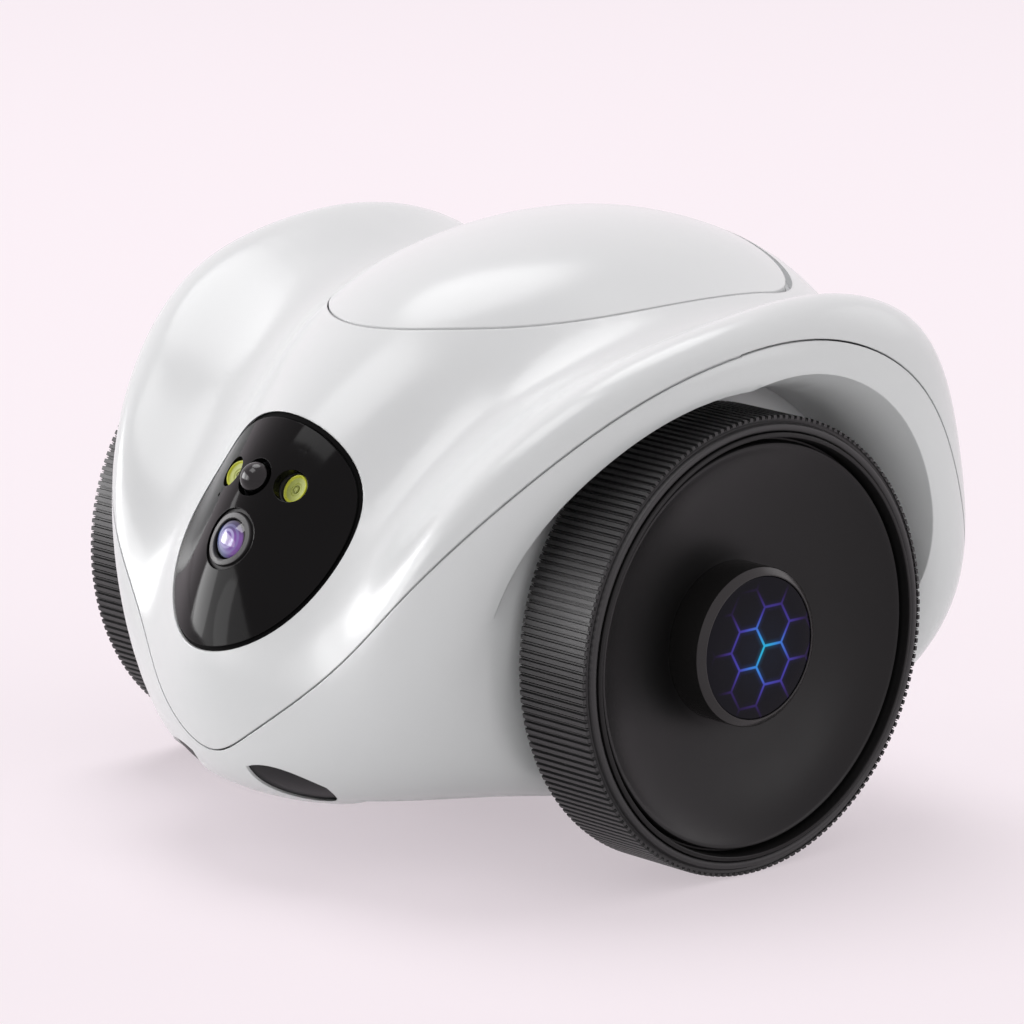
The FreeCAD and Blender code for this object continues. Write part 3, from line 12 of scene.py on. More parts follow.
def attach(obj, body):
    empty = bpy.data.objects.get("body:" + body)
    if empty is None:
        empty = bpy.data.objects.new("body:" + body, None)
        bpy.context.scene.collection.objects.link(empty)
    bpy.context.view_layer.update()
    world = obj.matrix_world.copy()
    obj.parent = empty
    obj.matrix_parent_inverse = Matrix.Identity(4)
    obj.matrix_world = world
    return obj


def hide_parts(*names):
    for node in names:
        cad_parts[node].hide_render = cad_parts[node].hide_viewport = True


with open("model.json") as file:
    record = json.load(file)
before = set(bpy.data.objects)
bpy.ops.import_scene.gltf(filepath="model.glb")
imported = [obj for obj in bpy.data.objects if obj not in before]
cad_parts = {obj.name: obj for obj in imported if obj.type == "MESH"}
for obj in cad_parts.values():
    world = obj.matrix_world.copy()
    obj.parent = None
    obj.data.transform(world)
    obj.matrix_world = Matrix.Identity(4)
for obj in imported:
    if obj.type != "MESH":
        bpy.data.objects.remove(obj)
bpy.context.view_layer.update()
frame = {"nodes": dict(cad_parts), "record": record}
nodes = frame["nodes"]
slot_of = {entry["node"]: entry["material_slot"] for entry in frame["record"]["subparts"]}
body_of = {}
for body, names in frame["record"]["behaviour"]["bodies"].items():
    for name in names:
        body_of[name] = body
sides = (("left", 1), ("right", -1))
MM = 0.001

# Sizes in millimetres and angles in degrees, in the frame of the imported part: the robot
# faces -Y, stands on Z = 0 and has its wheel axle along X over the origin.
wheel_radius = 52.0
half_width = 85.5  # from the robot's middle to a tyre's outer face
tyre_width = 21.3
tyre_ribs = 180
rib_foot_radius = 51.3
rib_in = 20.7  # reach of a rib behind the tyre's outer face
rib_out = 0.15  # and past it
rib_sink = 0.1  # of a rib's foot in the tyre
rib_chamfer = 0.2
ridge_height = 0.3  # of the low ridge in the groove beside a rib
rim_radius = 48.4
rim_bore = 3.05
rim_back = -22.2  # inner end of the rim's boss, from the tyre's outer face
hub_radius = 18.1
disc_radius = 16.15
lens_point = (0.0, -80.77, 74.5)  # on the window's face, on the lens's axis
lens_tilt = 20.0
ring_flat = (5.4, 6.8)  # radii between which the camera ring's own front is followed
light_point = (9.9, -70.65, 86.6)  # on the window's face; the other light is its mirror
light_tilt = 32.0
cell_side = 5.1  # of the honeycomb in the hub's light
cell_start = (-3.3, 0.15)  # middle of one cell, from the axle
glow_centre = (1.6, -1.0)  # brightest point of the honeycomb, from the axle
crease = 32.0  # faces that meet at more than this keep a crisp edge between them
turned_crease = 28.0
weld = 0.001  # corners closer than this become one

camera_azimuth = 47.96  # from straight ahead, towards the robot's left
camera_elevation = 13.04
camera_distance = 1471.4
camera_aim = (0.065, 0.299)  # beside and above the axle's middle, in wheel radii
camera_lens = 223.8
camera_sensor = 36.0

black = (0.002, 0.002, 0.002)
pale = (0.985, 0.893, 0.944)  # floor and backdrop
floor_glow = 0.5  # share of the floor's own light in what the eye sees of it
floor_grey = 0.82  # the floor in the light that it sends back to the robot
floor_half = 6.0  # metres
room_light = 0.52
lamp_aim = (0.0, 0.0, 0.06)  # metres


# ---------------------------------------------------------------------------
# Camera
# ---------------------------------------------------------------------------
def place_camera():
    azimuth = math.radians(camera_azimuth)
    elevation = math.radians(camera_elevation)
    ahead = math.cos(elevation)
    right = Vector((math.cos(azimuth), math.sin(azimuth), 0))
    back = Vector((math.sin(azimuth) * ahead, -math.cos(azimuth) * ahead, math.sin(elevation)))
    up = back.cross(right)
    radius = wheel_radius * MM
    beside, above = camera_aim
    target = Vector((0, 0, radius)) + right * beside * radius + up * above * radius
    data = bpy.data.cameras.new("camera")
    data.sensor_width = camera_sensor
    data.lens = camera_lens
    data.clip_start = 0.05
    data.clip_end = 50
    eye = bpy.data.objects.new("camera", data)
    turn = Matrix((right, up, back)).transposed().to_4x4()
    eye.matrix_world = Matrix.Translation(target + back * (camera_distance * MM)) @ turn
    bpy.context.scene.collection.objects.link(eye)
    bpy.context.scene.camera = eye


place_camera()


# ---------------------------------------------------------------------------
# Shader trees. A Wire is a socket that can be added, multiplied and so on.
# ---------------------------------------------------------------------------
class Wire:
    def __init__(self, finish, socket):
        self.finish = finish
        self.socket = socket

    def maths(self, operation, *others):
        values = dict(enumerate((self, *others)))
        return self.finish.node("ShaderNodeMath", {"operation": operation}, values)

    def __add__(self, other):
        return self.maths("ADD", other)

    def __radd__(self, other):
        return self.maths("ADD", other)

    def __sub__(self, other):
        return self.maths("SUBTRACT", other)

    def __rsub__(self, other):
        return self.finish.node("ShaderNodeMath", {"operation": "SUBTRACT"}, {0: other, 1: self})

    def __mul__(self, other):
        return self.maths("MULTIPLY", other)

    def __rmul__(self, other):
        return self.maths("MULTIPLY", other)

    def __truediv__(self, other):
        return self.maths("DIVIDE", other)

    def __pow__(self, other):
        return self.maths("POWER", other)

    def size(self):
        return self.maths("ABSOLUTE")

    def larger(self, other):
        return self.maths("MAXIMUM", other)

    def smaller(self, other):
        return self.maths("MINIMUM", other)

    def wrap(self, low, high):
        """The value moved by whole ranges until it lies between low and high."""
        return self.maths("WRAP", high, low)

    def clamp(self):
        return self.finish.node("ShaderNodeClamp", {}, {"Value": self})

    def step(self, low, high, unit=MM):
        """0 below low, 1 above high and smooth between, in millimetres if no unit is given."""
        return self.finish.node(
            "ShaderNodeMapRange",
            {"interpolation_type": "SMOOTHSTEP"},
            {"Value": self, "From Min": low * unit, "From Max": high * unit},
        )

    def ring(self, radius, core, edge):
        """1 within core of a radius and 0 past edge, all in millimetres."""
        return 1 - (self - radius * MM).size().step(core, edge)


class Finish:
    """A material with one Principled shader, and the nodes that feed it."""

    def __init__(self, name, **settings):
        self.material = bpy.data.materials.new(name)
        self.material.use_nodes = True
        self.tree = self.material.node_tree
        self.tree.nodes.clear()
        self.output = self.tree.nodes.new("ShaderNodeOutputMaterial")
        self.shader = self.tree.nodes.new("ShaderNodeBsdfPrincipled")
        self.tree.links.new(self.shader.outputs[0], self.output.inputs["Surface"])
        self.set(**settings)
        self.place = self.node("ShaderNodeTexCoord", {}, {}, "Object")

    def set(self, **settings):
        for key, value in settings.items():
            self.put(self.shader.inputs[key.replace("_", " ")], value)

    def put(self, socket, value):
        """Links a wire to a socket, or sets its value; a colour gets its fourth number here."""
        if isinstance(value, Wire):
            self.tree.links.new(value.socket, socket)
        elif isinstance(value, tuple):
            socket.default_value = (*value, 1.0)
        else:
            socket.default_value = value

    def node(self, kind, settings, values, out=0):
        made = self.tree.nodes.new(kind)
        for key, value in settings.items():
            if key == "stops":
                ramp = made.color_ramp.elements
                while len(ramp) < len(value):
                    ramp.new(0.5)
                for element, (position, colour) in zip(ramp, value):
                    element.position = position
                    element.color = (*colour, 1.0)
            else:
                setattr(made, key, value)
        for key, value in values.items():
            self.put(made.inputs[key], value)
        return Wire(self, made.outputs[out])

    def noise(self, scale, detail, place=None):
        """Even noise from 0 to 1, with its scale in features a metre."""
        values = {"Vector": place or self.place, "Scale": scale, "Detail": detail}
        return self.node("ShaderNodeTexNoise", {}, values)

    def split(self):
        """The place on the piece as X, Y and Z."""
        parts = self.node("ShaderNodeSeparateXYZ", {}, {"Vector": self.place}).socket.node
        return [Wire(self, parts.outputs[i]) for i in range(3)]

    def mix(self, factor, first, second):
        settings = {"data_type": "RGBA", "clamp_factor": True}
        return self.node("ShaderNodeMix", settings, {0: factor, 6: first, 7: second}, 2)

    def bump(self, height, strength, depth=0.02, under=None):
        """Normal over a relief whose depth is in millimetres, on top of another normal if given."""
        values = {"Height": height, "Strength": strength, "Distance": depth * MM}
        if under:
            values["Normal"] = under
        return self.node("ShaderNodeBump", {}, values)

    def soft_edge(self, radius):
        """Normal that turns over an edge as if it were rounded, by a radius in millimetres."""
        return self.node("ShaderNodeBevel", {"samples": 4}, {"Radius": radius * MM})

    def reach_from(self, point, tilt, mirror=False):
        """Offsets from a tilted axis through a point: sideways, up, and straight across."""
        x, y, z = self.split()
        if mirror:
            x = x.size()
        sideways = x - point[0] * MM
        lean = math.radians(tilt)
        up = (y - point[1] * MM) * math.sin(lean) + (z - point[2] * MM) * math.cos(lean)
        return sideways, up, (sideways * sideways + up * up) ** 0.5


# ---------------------------------------------------------------------------
# Finishes
# ---------------------------------------------------------------------------
def moulded(name, colour, rough, specular=0.5):
    """Moulded plastic: a fine grain, and gloss that varies a little over the surface."""
    finish = Finish(name, Specular_IOR_Level=specular)
    cloud = finish.noise(60.0, 2.0)
    grain = finish.noise(2600.0, 2.0)
    darker = tuple(c * 0.94 for c in colour)
    finish.set(
        Base_Color=finish.mix(cloud, darker, colour),
        Roughness=rough * (0.85 + 0.3 * cloud),
        Normal=finish.bump(grain, 0.25),
    )
    return finish.material


def shell_finish():
    """Glossy white shell with a faint peel, and edges that catch the light."""
    finish = Finish("shell_gloss", Specular_IOR_Level=0.45)
    cloud = finish.noise(35.0, 2.0)
    peel = finish.noise(900.0, 1.0)
    darker = (0.80, 0.805, 0.815)
    lighter = (0.84, 0.843, 0.85)
    finish.set(
        Base_Color=finish.mix(cloud, darker, lighter),
        Roughness=0.19 + 0.06 * cloud,
        Normal=finish.bump(peel, 0.02, under=finish.soft_edge(0.45)),
    )
    return finish.material


def metal(name, colour, rough):
    """Turned or drawn metal, with fine lines along X."""
    finish = Finish(name, Metallic=1.0)
    x, y, z = finish.split()
    drawn_out = finish.node("ShaderNodeCombineXYZ", {}, {"X": x * 0.05, "Y": y, "Z": z})
    lines = finish.noise(3000.0, 2.0, drawn_out)
    cloud = finish.noise(80.0, 2.0)
    darker = tuple(c * 0.8 for c in colour)
    finish.set(
        Base_Color=finish.mix(cloud, darker, colour),
        Roughness=rough * (0.8 + 0.4 * lines),
        Normal=finish.bump(lines, 0.15),
    )
    return finish.material


def board_finish():
    """Green circuit board with raised tracks."""
    finish = Finish("circuit_board", Specular_IOR_Level=0.5)
    cells = finish.node(
        "ShaderNodeTexVoronoi",
        {"feature": "DISTANCE_TO_EDGE", "distance": "EUCLIDEAN"},
        {"Vector": finish.place, "Scale": 260.0},
    )
    track = 1 - cells.step(0.03, 0.06, unit=1)
    finish.set(
        Base_Color=finish.mix(track, (0.012, 0.10, 0.05), (0.03, 0.19, 0.09)),
        Roughness=0.38 - 0.1 * track,
        Normal=finish.bump(track, 0.3, 0.05),
    )
    return finish.material


def tyre_finish():
    finish = Finish("tyre_rubber", Specular_IOR_Level=0.5)
    cloud = finish.noise(120.0, 4.0)
    grain = finish.noise(4000.0, 2.0)
    finish.set(
        Base_Color=finish.mix(cloud, (0.012, 0.012, 0.012), (0.026, 0.026, 0.027)),
        Roughness=0.4 + 0.14 * cloud,
        Normal=finish.bump(grain, 0.3, 0.03),
    )
    return finish.material


def hub_light_finish():
    """Dark glossy cover over a honeycomb of light: cyan near the middle, then blue and purple, and
    a painted glow of it on the cover round its brightest point.
    """
    finish = Finish("hub_light", Specular_IOR_Level=0.1, Roughness=0.2)
    _, y, z = finish.split()
    # how far inside the nearest cell a place is, for two interleaved grids of flat-topped cells
    wide = 3 * cell_side * MM
    high = math.sqrt(3) * cell_side * MM
    across = (y - cell_start[0] * MM) / wide
    up = (z - (wheel_radius + cell_start[1]) * MM) / high
    edges = []
    for shift in (0.0, 0.5):
        u = (across + shift).wrap(-0.5, 0.5).size() * wide
        v = (up + shift).wrap(-0.5, 0.5).size() * high
        edges.append(v.larger(v * 0.5 + u * (math.sqrt(3) / 2)))
    inside = high / 2 - edges[0].smaller(edges[1])
    line_edge, glow_edge, fade_edge, painted_glow_edge = (0.12, 0.42), (0.0, 1.5), (2.0, 16.5), (0.0, 14.0)
    line = 1 - inside.step(*line_edge)
    glow = 1 - inside.step(*glow_edge)
    # the light fades away from its brightest point, unevenly
    far_y = y - glow_centre[0] * MM
    far_z = z - (wheel_radius + glow_centre[1]) * MM
    reach = (far_y * far_y + far_z * far_z) ** 0.5
    patchy = (0.55 + 0.9 * finish.noise(70.0, 1.0)).clamp()
    lit = (1 - reach.step(*fade_edge)) * patchy * (line + 0.10 * glow)
    cyan, blue, indigo, purple = (
        (0.01, 0.46, 0.66), (0.03, 0.20, 0.64), (0.07, 0.06, 0.52), (0.12, 0.03, 0.36),
    )
    purple_from = 15.0
    colour = finish.node(
        "ShaderNodeValToRGB",
        {"stops": [(0.0, cyan), (0.3, blue), (0.55, indigo), (1.0, purple)]},
        {0: reach / (purple_from * MM)},
    )
    # painted glow: the cover's colour turns blue near the light's brightest point
    painted_glow = (1 - reach.step(*painted_glow_edge)) * 0.8
    finish.set(
        Emission_Strength=1.0,
        Emission_Color=finish.mix(lit, (0.0, 0.0, 0.0), colour),
        Base_Color=finish.mix(painted_glow, (0.004, 0.004, 0.008), (0.008, 0.011, 0.024)),
    )
    return finish.material


def glossy_black(name, rough, specular):
    """Polished black with a faint smear in its gloss."""
    finish = Finish(name, Specular_IOR_Level=specular)
    smear = finish.noise(45.0, 3.0)
    finish.set(
        Base_Color=finish.mix(smear, black, (0.004, 0.004, 0.004)),
        Roughness=rough * (0.9 + 0.3 * smear),
        Normal=finish.soft_edge(0.25),
    )
    return finish.material


def lens_ring_finish():
    """Fine-grained grey ring, black in its bore and in the groove round it."""
    finish = Finish("lens_ring", Specular_IOR_Level=0.4)
    _, _, reach = finish.reach_from(lens_point, lens_tilt)
    bore_edge, groove_edge = (4.72, 4.85), (6.05, 6.2)
    grey = reach.step(*bore_edge) * (1 - reach.step(*groove_edge))
    grain = finish.noise(3000.0, 2.0)
    finish.set(
        Base_Color=finish.mix(grey, black, (0.055, 0.055, 0.056)),
        Roughness=0.6 - 0.2 * grey,
        Normal=finish.bump(grain, 0.2),
    )
    return finish.material


def lens_finish():
    """Coated glass in painted reflections: blue at one side and violet at the other, over painted
    glints on the rings of its elements.
    """
    finish = Finish("lens_glass", Specular_IOR_Level=0.35, Roughness=0.04)
    sideways, up, reach = finish.reach_from(lens_point, lens_tilt)
    blue, violet, painted_highlight, painted_top_shade = (
        (0.10, 0.17, 0.48), (0.22, 0.06, 0.42), (0.42, 0.45, 0.60), (0.012, 0.014, 0.07),
    )
    # painted reflection of the coating: violet comes in across the glass, a painted highlight low
    # on the blue side, and painted shade at the top
    across = sideways.step(-3.2, 2.8)
    low = ((1 - up.step(-3.8, 0.5)) * (1 - across) * 1.1).clamp()
    high = up.step(0.6, 3.4) * 0.9
    painted_reflection = finish.mix(across, blue, violet)
    painted_reflection = finish.mix(low, painted_reflection, painted_highlight)
    painted_reflection = finish.mix(high, painted_reflection, painted_top_shade)
    # painted glints on the rings of the elements: radius, full within, gone past, weight and colour
    for radius, core, edge, weight, colour in (
        (3.1, 0.15, 0.40, 0.4, (0.30, 0.30, 0.62)),
        (1.95, 0.168, 0.43, 0.85, (0.50, 0.44, 0.78)),
        (0.0, 0.9, 1.65, 0.6, (0.20, 0.11, 0.40)),
        (0.0, 0.45, 0.9, 0.8, (0.26, 0.24, 0.42)),
    ):
        painted_reflection = finish.mix(reach.ring(radius, core, edge) * weight, painted_reflection, colour)
    finish.set(
        Base_Color=finish.mix(reach.step(4.0, 4.4), painted_reflection, (0.002, 0.002, 0.003)),
        Coat_Weight=1.0 - 0.3 * reach.step(3.9, 4.3),
        Coat_Roughness=0.02,
    )
    return finish.material


def cup_finish():
    """Yellow phosphor: a pale face with darker rings, and a deeper yellow rim."""
    finish = Finish("light_yellow", Specular_IOR_Level=0.4)
    _, _, reach = finish.reach_from(light_point, light_tilt, mirror=True)
    speck = finish.noise(1800.0, 2.0)
    ring, nub, rim_edge = (1.5, 0.1, 0.3), (0.75, 0.12, 0.4), (2.6, 3.0)
    face = finish.mix(speck, (0.52, 0.57, 0.15), (0.60, 0.65, 0.20))
    face = finish.mix(reach.ring(*ring) * 0.5, face, (0.38, 0.42, 0.05))
    face = finish.mix(reach.step(*rim_edge), face, (0.66, 0.68, 0.04))
    face = finish.mix(reach.ring(*nub) * 0.8, face, (0.20, 0.22, 0.03))
    finish.set(
        Base_Color=face,
        Roughness=0.32 + 0.1 * speck,
        Normal=finish.bump(speck, 0.1),
    )
    return finish.material


finishes = {
    "shell_white": shell_finish(),
    "window_black": glossy_black("window_black", 0.08, 0.1),
    "seal_rubber": moulded("seal_rubber", black, 0.7, 0.06),
    "ring_grey": lens_ring_finish(),
    "lens_glass": lens_finish(),
    "sensor_glass": glossy_black("sensor_glass", 0.12, 0.4),
    "lamp_yellow": cup_finish(),
    "leaf_grey": moulded("leaf_grey", (0.012, 0.012, 0.013), 0.45, 0.2),
    "tyre_rubber": tyre_finish(),
    "rim_black": moulded("rim_black", (0.006, 0.006, 0.006), 0.38, 0.26),
    "hub_light": hub_light_finish(),
    "board_green": board_finish(),
    "steel": metal("bright_steel", (0.62, 0.62, 0.64), 0.3),
    "motor_metal": metal("motor_can", (0.5, 0.5, 0.52), 0.36),
    "bracket_steel": metal("bracket_steel", (0.58, 0.58, 0.6), 0.34),
    "inner_plastic": moulded("inner_plastic", (0.03, 0.03, 0.033), 0.5),
    "hopper_plastic": moulded("hopper_plastic", (0.46, 0.46, 0.48), 0.35),
    "rotor_plastic": moulded("rotor_plastic", (0.75, 0.30, 0.05), 0.35),
    "button_grey": moulded("button_grey", (0.32, 0.32, 0.34), 0.4),
    "caster_grey": moulded("caster_grey", (0.2, 0.2, 0.21), 0.42),
}
cap_black = moulded("cap_black", (0.012, 0.0115, 0.011), 0.25, 0.45)

for name, obj in nodes.items():
    obj.data.materials.clear()
    obj.data.materials.append(finishes[slot_of[name]])


# ---------------------------------------------------------------------------
# Pieces
# ---------------------------------------------------------------------------
def plain(bm, name):
    mesh = bpy.data.meshes.new(name)
    bm.to_mesh(mesh)
    bm.free()
    return mesh


def shaded(bm, name, angle=turned_crease):
    """Finished mesh with soft curves, and crisp edges where faces meet at more than an angle."""
    for face in bm.faces:
        face.smooth = True
    for edge in bm.edges:
        edge.smooth = edge.is_manifold and edge.calc_face_angle(0.0) < math.radians(angle)
    return plain(bm, name)


def keep(name, mesh, node, finish=None):
    """Puts a finished mesh in the scene, on its node's body and in place of the node."""
    obj = bpy.data.objects.new(name, mesh)
    bpy.context.scene.collection.objects.link(obj)
    mesh.materials.clear()
    mesh.materials.append(finish or finishes[slot_of[node]])
    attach(obj, body_of[node])
    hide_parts(node)


def smoothed(node):
    """The node's own surface with its triangles joined, so that light runs evenly over it."""
    bm = bmesh.new()
    bm.from_mesh(nodes[node].data)
    bmesh.ops.remove_doubles(bm, verts=bm.verts, dist=weld * MM)
    keep(node + "_skin", shaded(bm, node + "_skin", crease), node)


for node in (
    "upper_shell", "lower_shell", "treat_lid", "outlet_flap", "camera_window", "window_gasket",
    "camera_lens", "sensor_dome", "floor_window_left", "floor_window_right",
):
    smoothed(node)


# ---------------------------------------------------------------------------
# Ribs of the tread by Geometry Nodes: one item, set out round the axle
# ---------------------------------------------------------------------------
def ring_tree():
    tree = bpy.data.node_groups.new("round_the_axle", "GeometryNodeTree")
    for label, way, kind in (
        ("Item", "INPUT", "Geometry"),
        ("Count", "INPUT", "Int"),
        ("Axle height", "INPUT", "Float"),
        ("Finish", "INPUT", "Material"),
        ("Ring", "OUTPUT", "Geometry"),
    ):
        tree.interface.new_socket(label, in_out=way, socket_type="NodeSocket" + kind)

    given = tree.nodes.new("NodeGroupInput")
    result = tree.nodes.new("NodeGroupOutput")
    points = tree.nodes.new("GeometryNodePoints")
    index = tree.nodes.new("GeometryNodeInputIndex")
    step = tree.nodes.new("ShaderNodeMath")
    step.operation = "DIVIDE"
    step.inputs[0].default_value = 2 * math.pi
    angle = tree.nodes.new("ShaderNodeMath")
    angle.operation = "MULTIPLY"
    turn = tree.nodes.new("ShaderNodeCombineXYZ")
    place = tree.nodes.new("ShaderNodeCombineXYZ")
    spread = tree.nodes.new("GeometryNodeInstanceOnPoints")
    real = tree.nodes.new("GeometryNodeRealizeInstances")
    dressed = tree.nodes.new("GeometryNodeSetMaterial")
    for source, target in (
        (given.outputs["Count"], points.inputs["Count"]),
        (given.outputs["Count"], step.inputs[1]),
        (given.outputs["Axle height"], place.inputs["Z"]),
        (place.outputs[0], points.inputs["Position"]),
        (index.outputs[0], angle.inputs[0]),
        (step.outputs[0], angle.inputs[1]),
        (angle.outputs[0], turn.inputs["X"]),
        (points.outputs[0], spread.inputs["Points"]),
        (given.outputs["Item"], spread.inputs["Instance"]),
        (turn.outputs[0], spread.inputs["Rotation"]),
        (spread.outputs[0], real.inputs[0]),
        (real.outputs[0], dressed.inputs["Geometry"]),
        (given.outputs["Finish"], dressed.inputs["Material"]),
        (dressed.outputs[0], result.inputs["Ring"]),
    ):
        tree.links.new(source, target)
    return tree


round_axle = ring_tree()


def repeated(item, count, finish):
    """Plain mesh of one item, set out count times round the axle."""
    obj = bpy.data.objects.new("item", item)
    bpy.context.scene.collection.objects.link(obj)
    modifier = obj.modifiers.new("repeat", "NODES")
    modifier.node_group = round_axle
    values = {"Count": count, "Axle height": wheel_radius * MM, "Finish": finish}
    for socket in round_axle.interface.items_tree:
        if socket.in_out == "INPUT" and socket.name in values:
            modifier[socket.identifier] = values[socket.name]
    evaluated = obj.evaluated_get(bpy.context.evaluated_depsgraph_get())
    mesh = bpy.data.meshes.new_from_object(evaluated)
    bpy.data.objects.remove(obj)
    return mesh


def bar(bm, sign, middle, foot, top, crown):
    """A bar along X over the axle, up to a crown radius, with a chamfer round its top.

    Its middle and the half widths of its foot and top are in pitches of the tread."""
    pitch = 2 * math.pi * wheel_radius / tyre_ribs
    levels = (
        (rib_foot_radius - rib_sink, foot, 0.0),
        (crown - rib_chamfer, top, 0.0),
        (crown, top, rib_chamfer),
    )
    rings = []
    for radius, wide, short in levels:
        x0 = sign * (half_width - rib_in + short) * MM
        x1 = sign * (half_width + rib_out - short) * MM
        rings.append([
            bm.verts.new((x, (middle + y) * pitch * MM, radius * MM))
            for x, y in ((x0, -wide), (x1, -wide), (x1, wide), (x0, wide))
        ])
    for lower, upper in zip(rings, rings[1:]):
        for k in range(4):
            after = (k + 1) % 4
            bm.faces.new((lower[k], lower[after], upper[after], upper[k]))
    bm.faces.new(rings[-1])
    bm.faces.new(rings[0])


def rib_mesh(sign):
    """One rib of the tread over the axle, and the low ridge in the groove beside it."""
    bm = bmesh.new()
    bar(bm, sign, 0.0, 0.30, 0.25, wheel_radius)
    bar(bm, sign, 0.5, 0.07, 0.04, rib_foot_radius + ridge_height)
    bmesh.ops.recalc_face_normals(bm, faces=bm.faces)
    return plain(bm, "rib")


# ---------------------------------------------------------------------------
# Turned pieces. A profile is a list of points (radius, reach along the axis).
# ---------------------------------------------------------------------------
def turned(profile, origin, axis, steps, lift=None):
    """Closed surface of revolution from a profile, with poles where the radius is 0.

    A lift gives more reach along the axis at a radius and a direction across it."""
    origin = Vector(origin)
    axis = Vector(axis)
    over = Vector((0, 1, 0)) if axis.x else Vector((1, 0, 0))
    beside = axis.cross(over)
    bm = bmesh.new()
    rows = []
    for radius, reach in profile:
        row = []
        for k in range(steps if radius else 1):
            turn = 2 * math.pi * k / steps
            across = over * math.cos(turn) + beside * math.sin(turn)
            more = lift(radius, across) if lift else 0
            row.append(bm.verts.new((origin + across * radius + axis * (reach + more)) * MM))
        rows.append(row)
    if len(rows[0]) > 1 and len(rows[-1]) > 1:
        rows.append(rows[0])
    for first, second in zip(rows, rows[1:]):
        for k in range(steps):
            a, b = first[k % len(first)], first[(k + 1) % len(first)]
            c, d = second[(k + 1) % len(second)], second[k % len(second)]
            if a != b and c != d:
                bm.faces.new((a, b, c, d))
            elif c != d:
                bm.faces.new((a, c, d))
            elif a != b:
                bm.faces.new((a, b, c))
    bmesh.ops.recalc_face_normals(bm, faces=bm.faces)
    return bm


# Pieces of a wheel, from the tyre's outer face
tyre_profile = [
    (48.45, -21.2), (49.7, -21.25), (50.6, -20.9), (rib_foot_radius, -20.4),
    (rib_foot_radius, -0.25), (50.6, -0.4), (50.35, -0.2), (50.2, 0.4), (50.0, 0.8), (49.7, 0.98),
    (49.2, 1.0), (48.8, 0.88), (48.55, 0.6), (48.5, 0.2), (48.45, -0.5),
]
rim_profile = [
    (45.9, -tyre_width), (rim_radius, -tyre_width), (48.38, 0.45), (48.25, 1.05), (48.0, 1.32),
    (47.7, 1.4), (47.42, 1.38), (47.28, 1.25), (47.05, 0.5), (46.85, -2.3), (46.6, -2.7),
    (46.25, -2.7), (46.05, -2.3), (46.0, -1.1), (45.9, -0.62), (45.65, -0.36), (45.3, -0.36),
    (44.8, -0.62), (44.0, -1.25), (42.0, -2.6), (38.0, -4.4), (33.0, -6.1), (28.0, -7.15),
    (23.0, -8.1), (19.5, -8.72), (18.6, -8.8), (rim_bore, -8.8), (rim_bore, rim_back),
    (9.0, rim_back), (9.0, -11.3), (19.0, -11.3), (28.0, -9.6), (38.0, -6.9), (44.2, -4.7),
    (45.9, -4.6),
]
cap_profile = [
    (hub_radius, -8.8), (hub_radius, 0.0), (18.02, 0.16), (17.85, 0.3), (16.6, 1.28),
    (16.42, 1.36), (16.28, 1.34), (16.2, 1.2), (16.2, -0.8), (15.0, -0.8), (15.0, -3.6),
    (16.4, -3.8), (16.4, -8.8),
]
disc_profile = [
    (0, 1.1), (12.0, 1.1), (15.6, 1.08), (16.0, 1.02), (disc_radius, 0.85), (disc_radius, -0.8),
    (0, -0.8),
]
# Pieces behind the camera window, from its face; the ring follows the window's curve
ring_profile = [
    (7.15, -1.9), (7.15, -0.75), (6.4, -0.8), (6.25, -0.35), (6.12, -0.1), (6.0, -0.04),
    (4.98, -0.04), (4.84, -0.12), (4.76, -0.4), (4.74, -1.3), (5.3, -1.9),
]
cup_profile = [
    (0.95, -2.3), (1.5, -2.3), (1.6, -2.18), (2.8, -2.12), (2.95, -2.0), (3.1, -1.75),
    (3.28, -1.68), (3.42, -1.8), (3.46, -2.1), (3.46, -3.35), (0.95, -3.35),
]
emitter_profile = [
    (0, -1.96), (0.3, -1.98), (0.42, -2.12), (0.55, -2.12), (0.66, -1.98), (0.82, -2.03),
    (0.9, -2.25), (0.9, -3.3), (0, -3.3),
]


def on_axle(profile, sign, steps):
    return turned(profile, (sign * half_width, 0, wheel_radius), (sign, 0, 0), steps)


for side, sign in sides:
    node = "tyre_" + side
    tread = on_axle(tyre_profile, sign, 180)
    tread.from_mesh(repeated(rib_mesh(sign), tyre_ribs, finishes["tyre_rubber"]))
    keep(node + "_tread", shaded(tread, node + "_tread", crease), node)
    for kind, profile, steps, finish in (  # with None the node's own finish stays
        ("wheel_rim_", rim_profile, 180, None),
        ("hub_cap_", cap_profile, 120, cap_black),
        ("hub_light_disc_", disc_profile, 96, None),
    ):
        node = kind + side
        keep(node + "_turned", shaded(on_axle(profile, sign, steps), node), node, finish)


def ahead_and_up(tilt):
    lean = math.radians(tilt)
    return Vector((0, -math.cos(lean), math.sin(lean)))


def front_of(node, point, axis, low, high):
    """Gives how far a node's front stands over the plane through a point.

    It is read straight along the axis, at a radius that is kept between low and high."""
    bm = bmesh.new()
    bm.from_mesh(nodes[node].data)
    surface = BVHTree.FromBMesh(bm)
    bm.free()
    start = 20.0  # over the plane, and clear of the node

    def stands(radius, across):
        foot = Vector(point) + across * min(max(radius, low), high)
        fall = surface.ray_cast((foot + axis * start) * MM, -axis)[3]
        return start - fall / MM

    return stands


lens_axis = ahead_and_up(lens_tilt)
ring_front = front_of("camera_ring", lens_point, lens_axis, *ring_flat)
ring = turned(ring_profile, lens_point, lens_axis, 96, ring_front)
keep("camera_ring_turned", shaded(ring, "camera_ring"), "camera_ring")
for node, profile in (("light_cups", cup_profile), ("light_emitters", emitter_profile)):
    pair = bmesh.new()
    for side, sign in sides:
        point = (sign * light_point[0], *light_point[1:])
        pair.from_mesh(plain(turned(profile, point, ahead_and_up(light_tilt), 48), node))
    keep(node + "_turned", shaded(pair, node), node)


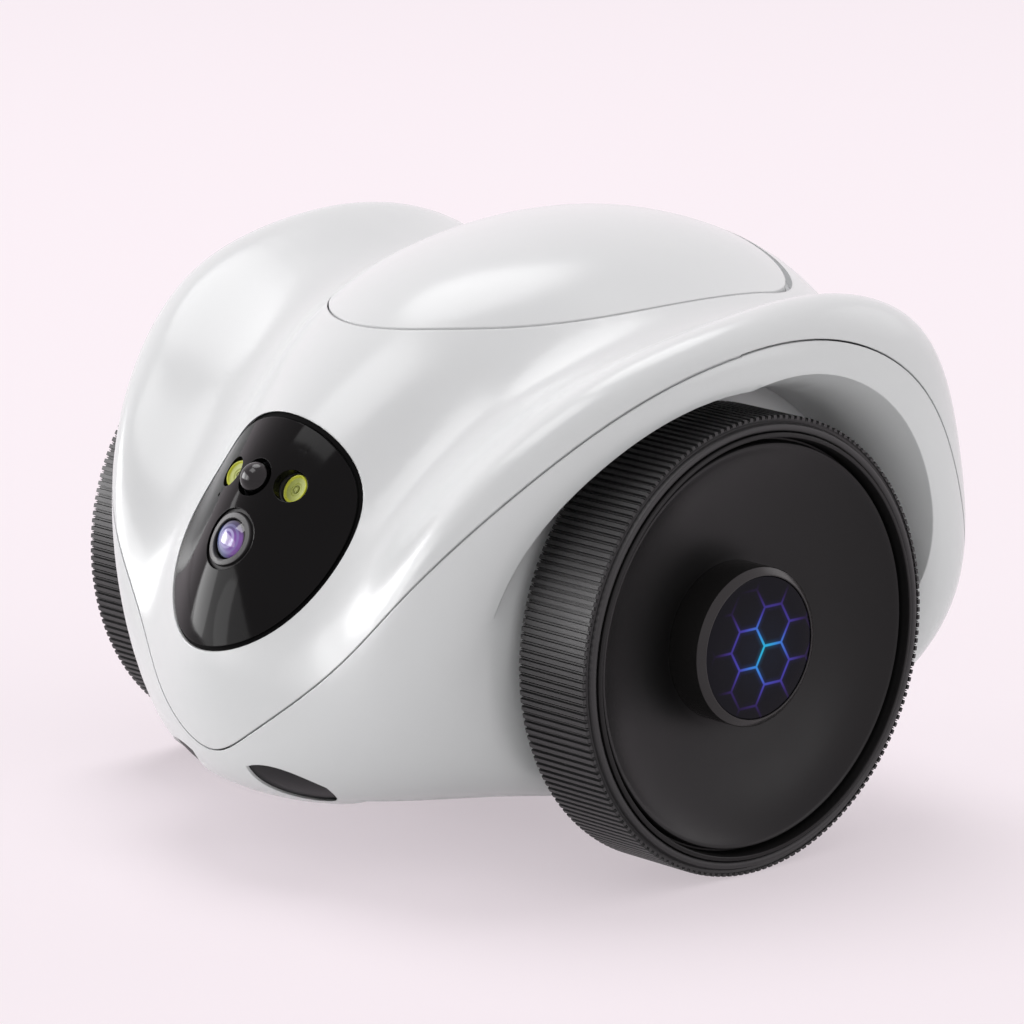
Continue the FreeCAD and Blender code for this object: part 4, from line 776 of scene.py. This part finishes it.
# ---------------------------------------------------------------------------
# Floor, light and world
# ---------------------------------------------------------------------------
def seen_rays(tree):
    """1 for rays from the eye and those that gloss and glass send on, and 0 for all others."""
    rays = tree.nodes.new("ShaderNodeLightPath")
    total = rays.outputs["Is Camera Ray"]
    for kind in ("Is Glossy Ray", "Is Transmission Ray"):
        add = tree.nodes.new("ShaderNodeMath")
        add.operation = "ADD"
        add.use_clamp = True
        tree.links.new(total, add.inputs[0])
        tree.links.new(rays.outputs[kind], add.inputs[1])
        total = add.outputs[0]
    return total


def floor():
    """Pale floor that glows a little to the eye, so that shadows on it are soft and light."""
    bm = bmesh.new()
    bmesh.ops.create_grid(bm, x_segments=1, y_segments=1, size=floor_half)
    obj = bpy.data.objects.new("floor", plain(bm, "floor"))
    bpy.context.scene.collection.objects.link(obj)
    finish = Finish("floor_pale", Roughness=1.0, Specular_IOR_Level=0.0, Base_Color=pale)
    lit = Wire(finish, finish.shader.outputs[0])
    glow = finish.node("ShaderNodeEmission", {}, {"Color": pale, "Strength": 1.0})
    seen = finish.node("ShaderNodeMixShader", {}, {0: floor_glow, 1: lit, 2: glow})
    grey = (floor_grey, floor_grey, floor_grey)
    unseen = finish.node("ShaderNodeBsdfDiffuse", {}, {"Color": grey})
    eye = Wire(finish, seen_rays(finish.tree))
    whole = finish.node("ShaderNodeMixShader", {}, {0: eye, 1: unseen, 2: seen})
    finish.tree.links.new(whole.socket, finish.output.inputs["Surface"])
    obj.data.materials.append(finish.material)


def lamp(name, place, wide, power, high=None):
    """A soft round lamp, or with a height an oblong screen that only gloss shows."""
    data = bpy.data.lights.new(name, "AREA")
    data.shape = "RECTANGLE" if high else "DISK"
    data.size = wide
    if high:
        data.size_y = high
    data.energy = power
    obj = bpy.data.objects.new(name, data)
    obj.visible_diffuse = not high
    obj.location = place
    obj.rotation_euler = (Vector(lamp_aim) - Vector(place)).to_track_quat("-Z", "Y").to_euler()
    bpy.context.scene.collection.objects.link(obj)


def light_up():
    world = bpy.data.worlds.new("studio")
    world.use_nodes = True
    bpy.context.scene.world = world
    tree = world.node_tree
    room = tree.nodes["Background"]
    room.inputs["Color"].default_value = (1.0, 1.0, 1.0, 1.0)
    room.inputs["Strength"].default_value = room_light
    backdrop = tree.nodes.new("ShaderNodeBackground")
    backdrop.inputs["Color"].default_value = (*pale, 1.0)
    backdrop.inputs["Strength"].default_value = 1.0
    mixed = tree.nodes.new("ShaderNodeMixShader")
    tree.links.new(seen_rays(tree), mixed.inputs[0])
    tree.links.new(room.outputs[0], mixed.inputs[1])
    tree.links.new(backdrop.outputs[0], mixed.inputs[2])
    tree.links.new(mixed.outputs[0], tree.nodes["World Output"].inputs["Surface"])
    # place and width in metres, and power in watts
    lamp("top", (-0.7, 0.4, 2.3), 1.5, 22.0)
    lamp("left", (-2.2, -1.4, 0.45), 1.3, 17.0)
    lamp("front", (-0.8, -2.4, 0.4), 1.2, 8.0)
    lamp("side", (2.2, 1.1, 0.25), 1.2, 6.0)
    lamp("back", (0.6, 2.2, 1.0), 1.2, 3.0)
    lamp("screen_left", (-1.6, -1.6, 0.45), 2.4, 34.0, high=1.2)
    lamp("screen_over", (-0.24, -0.91, 1.8), 1.1, 10.0, high=0.8)


floor()
light_up()
bpy.context.scene.view_settings.view_transform = "Standard"
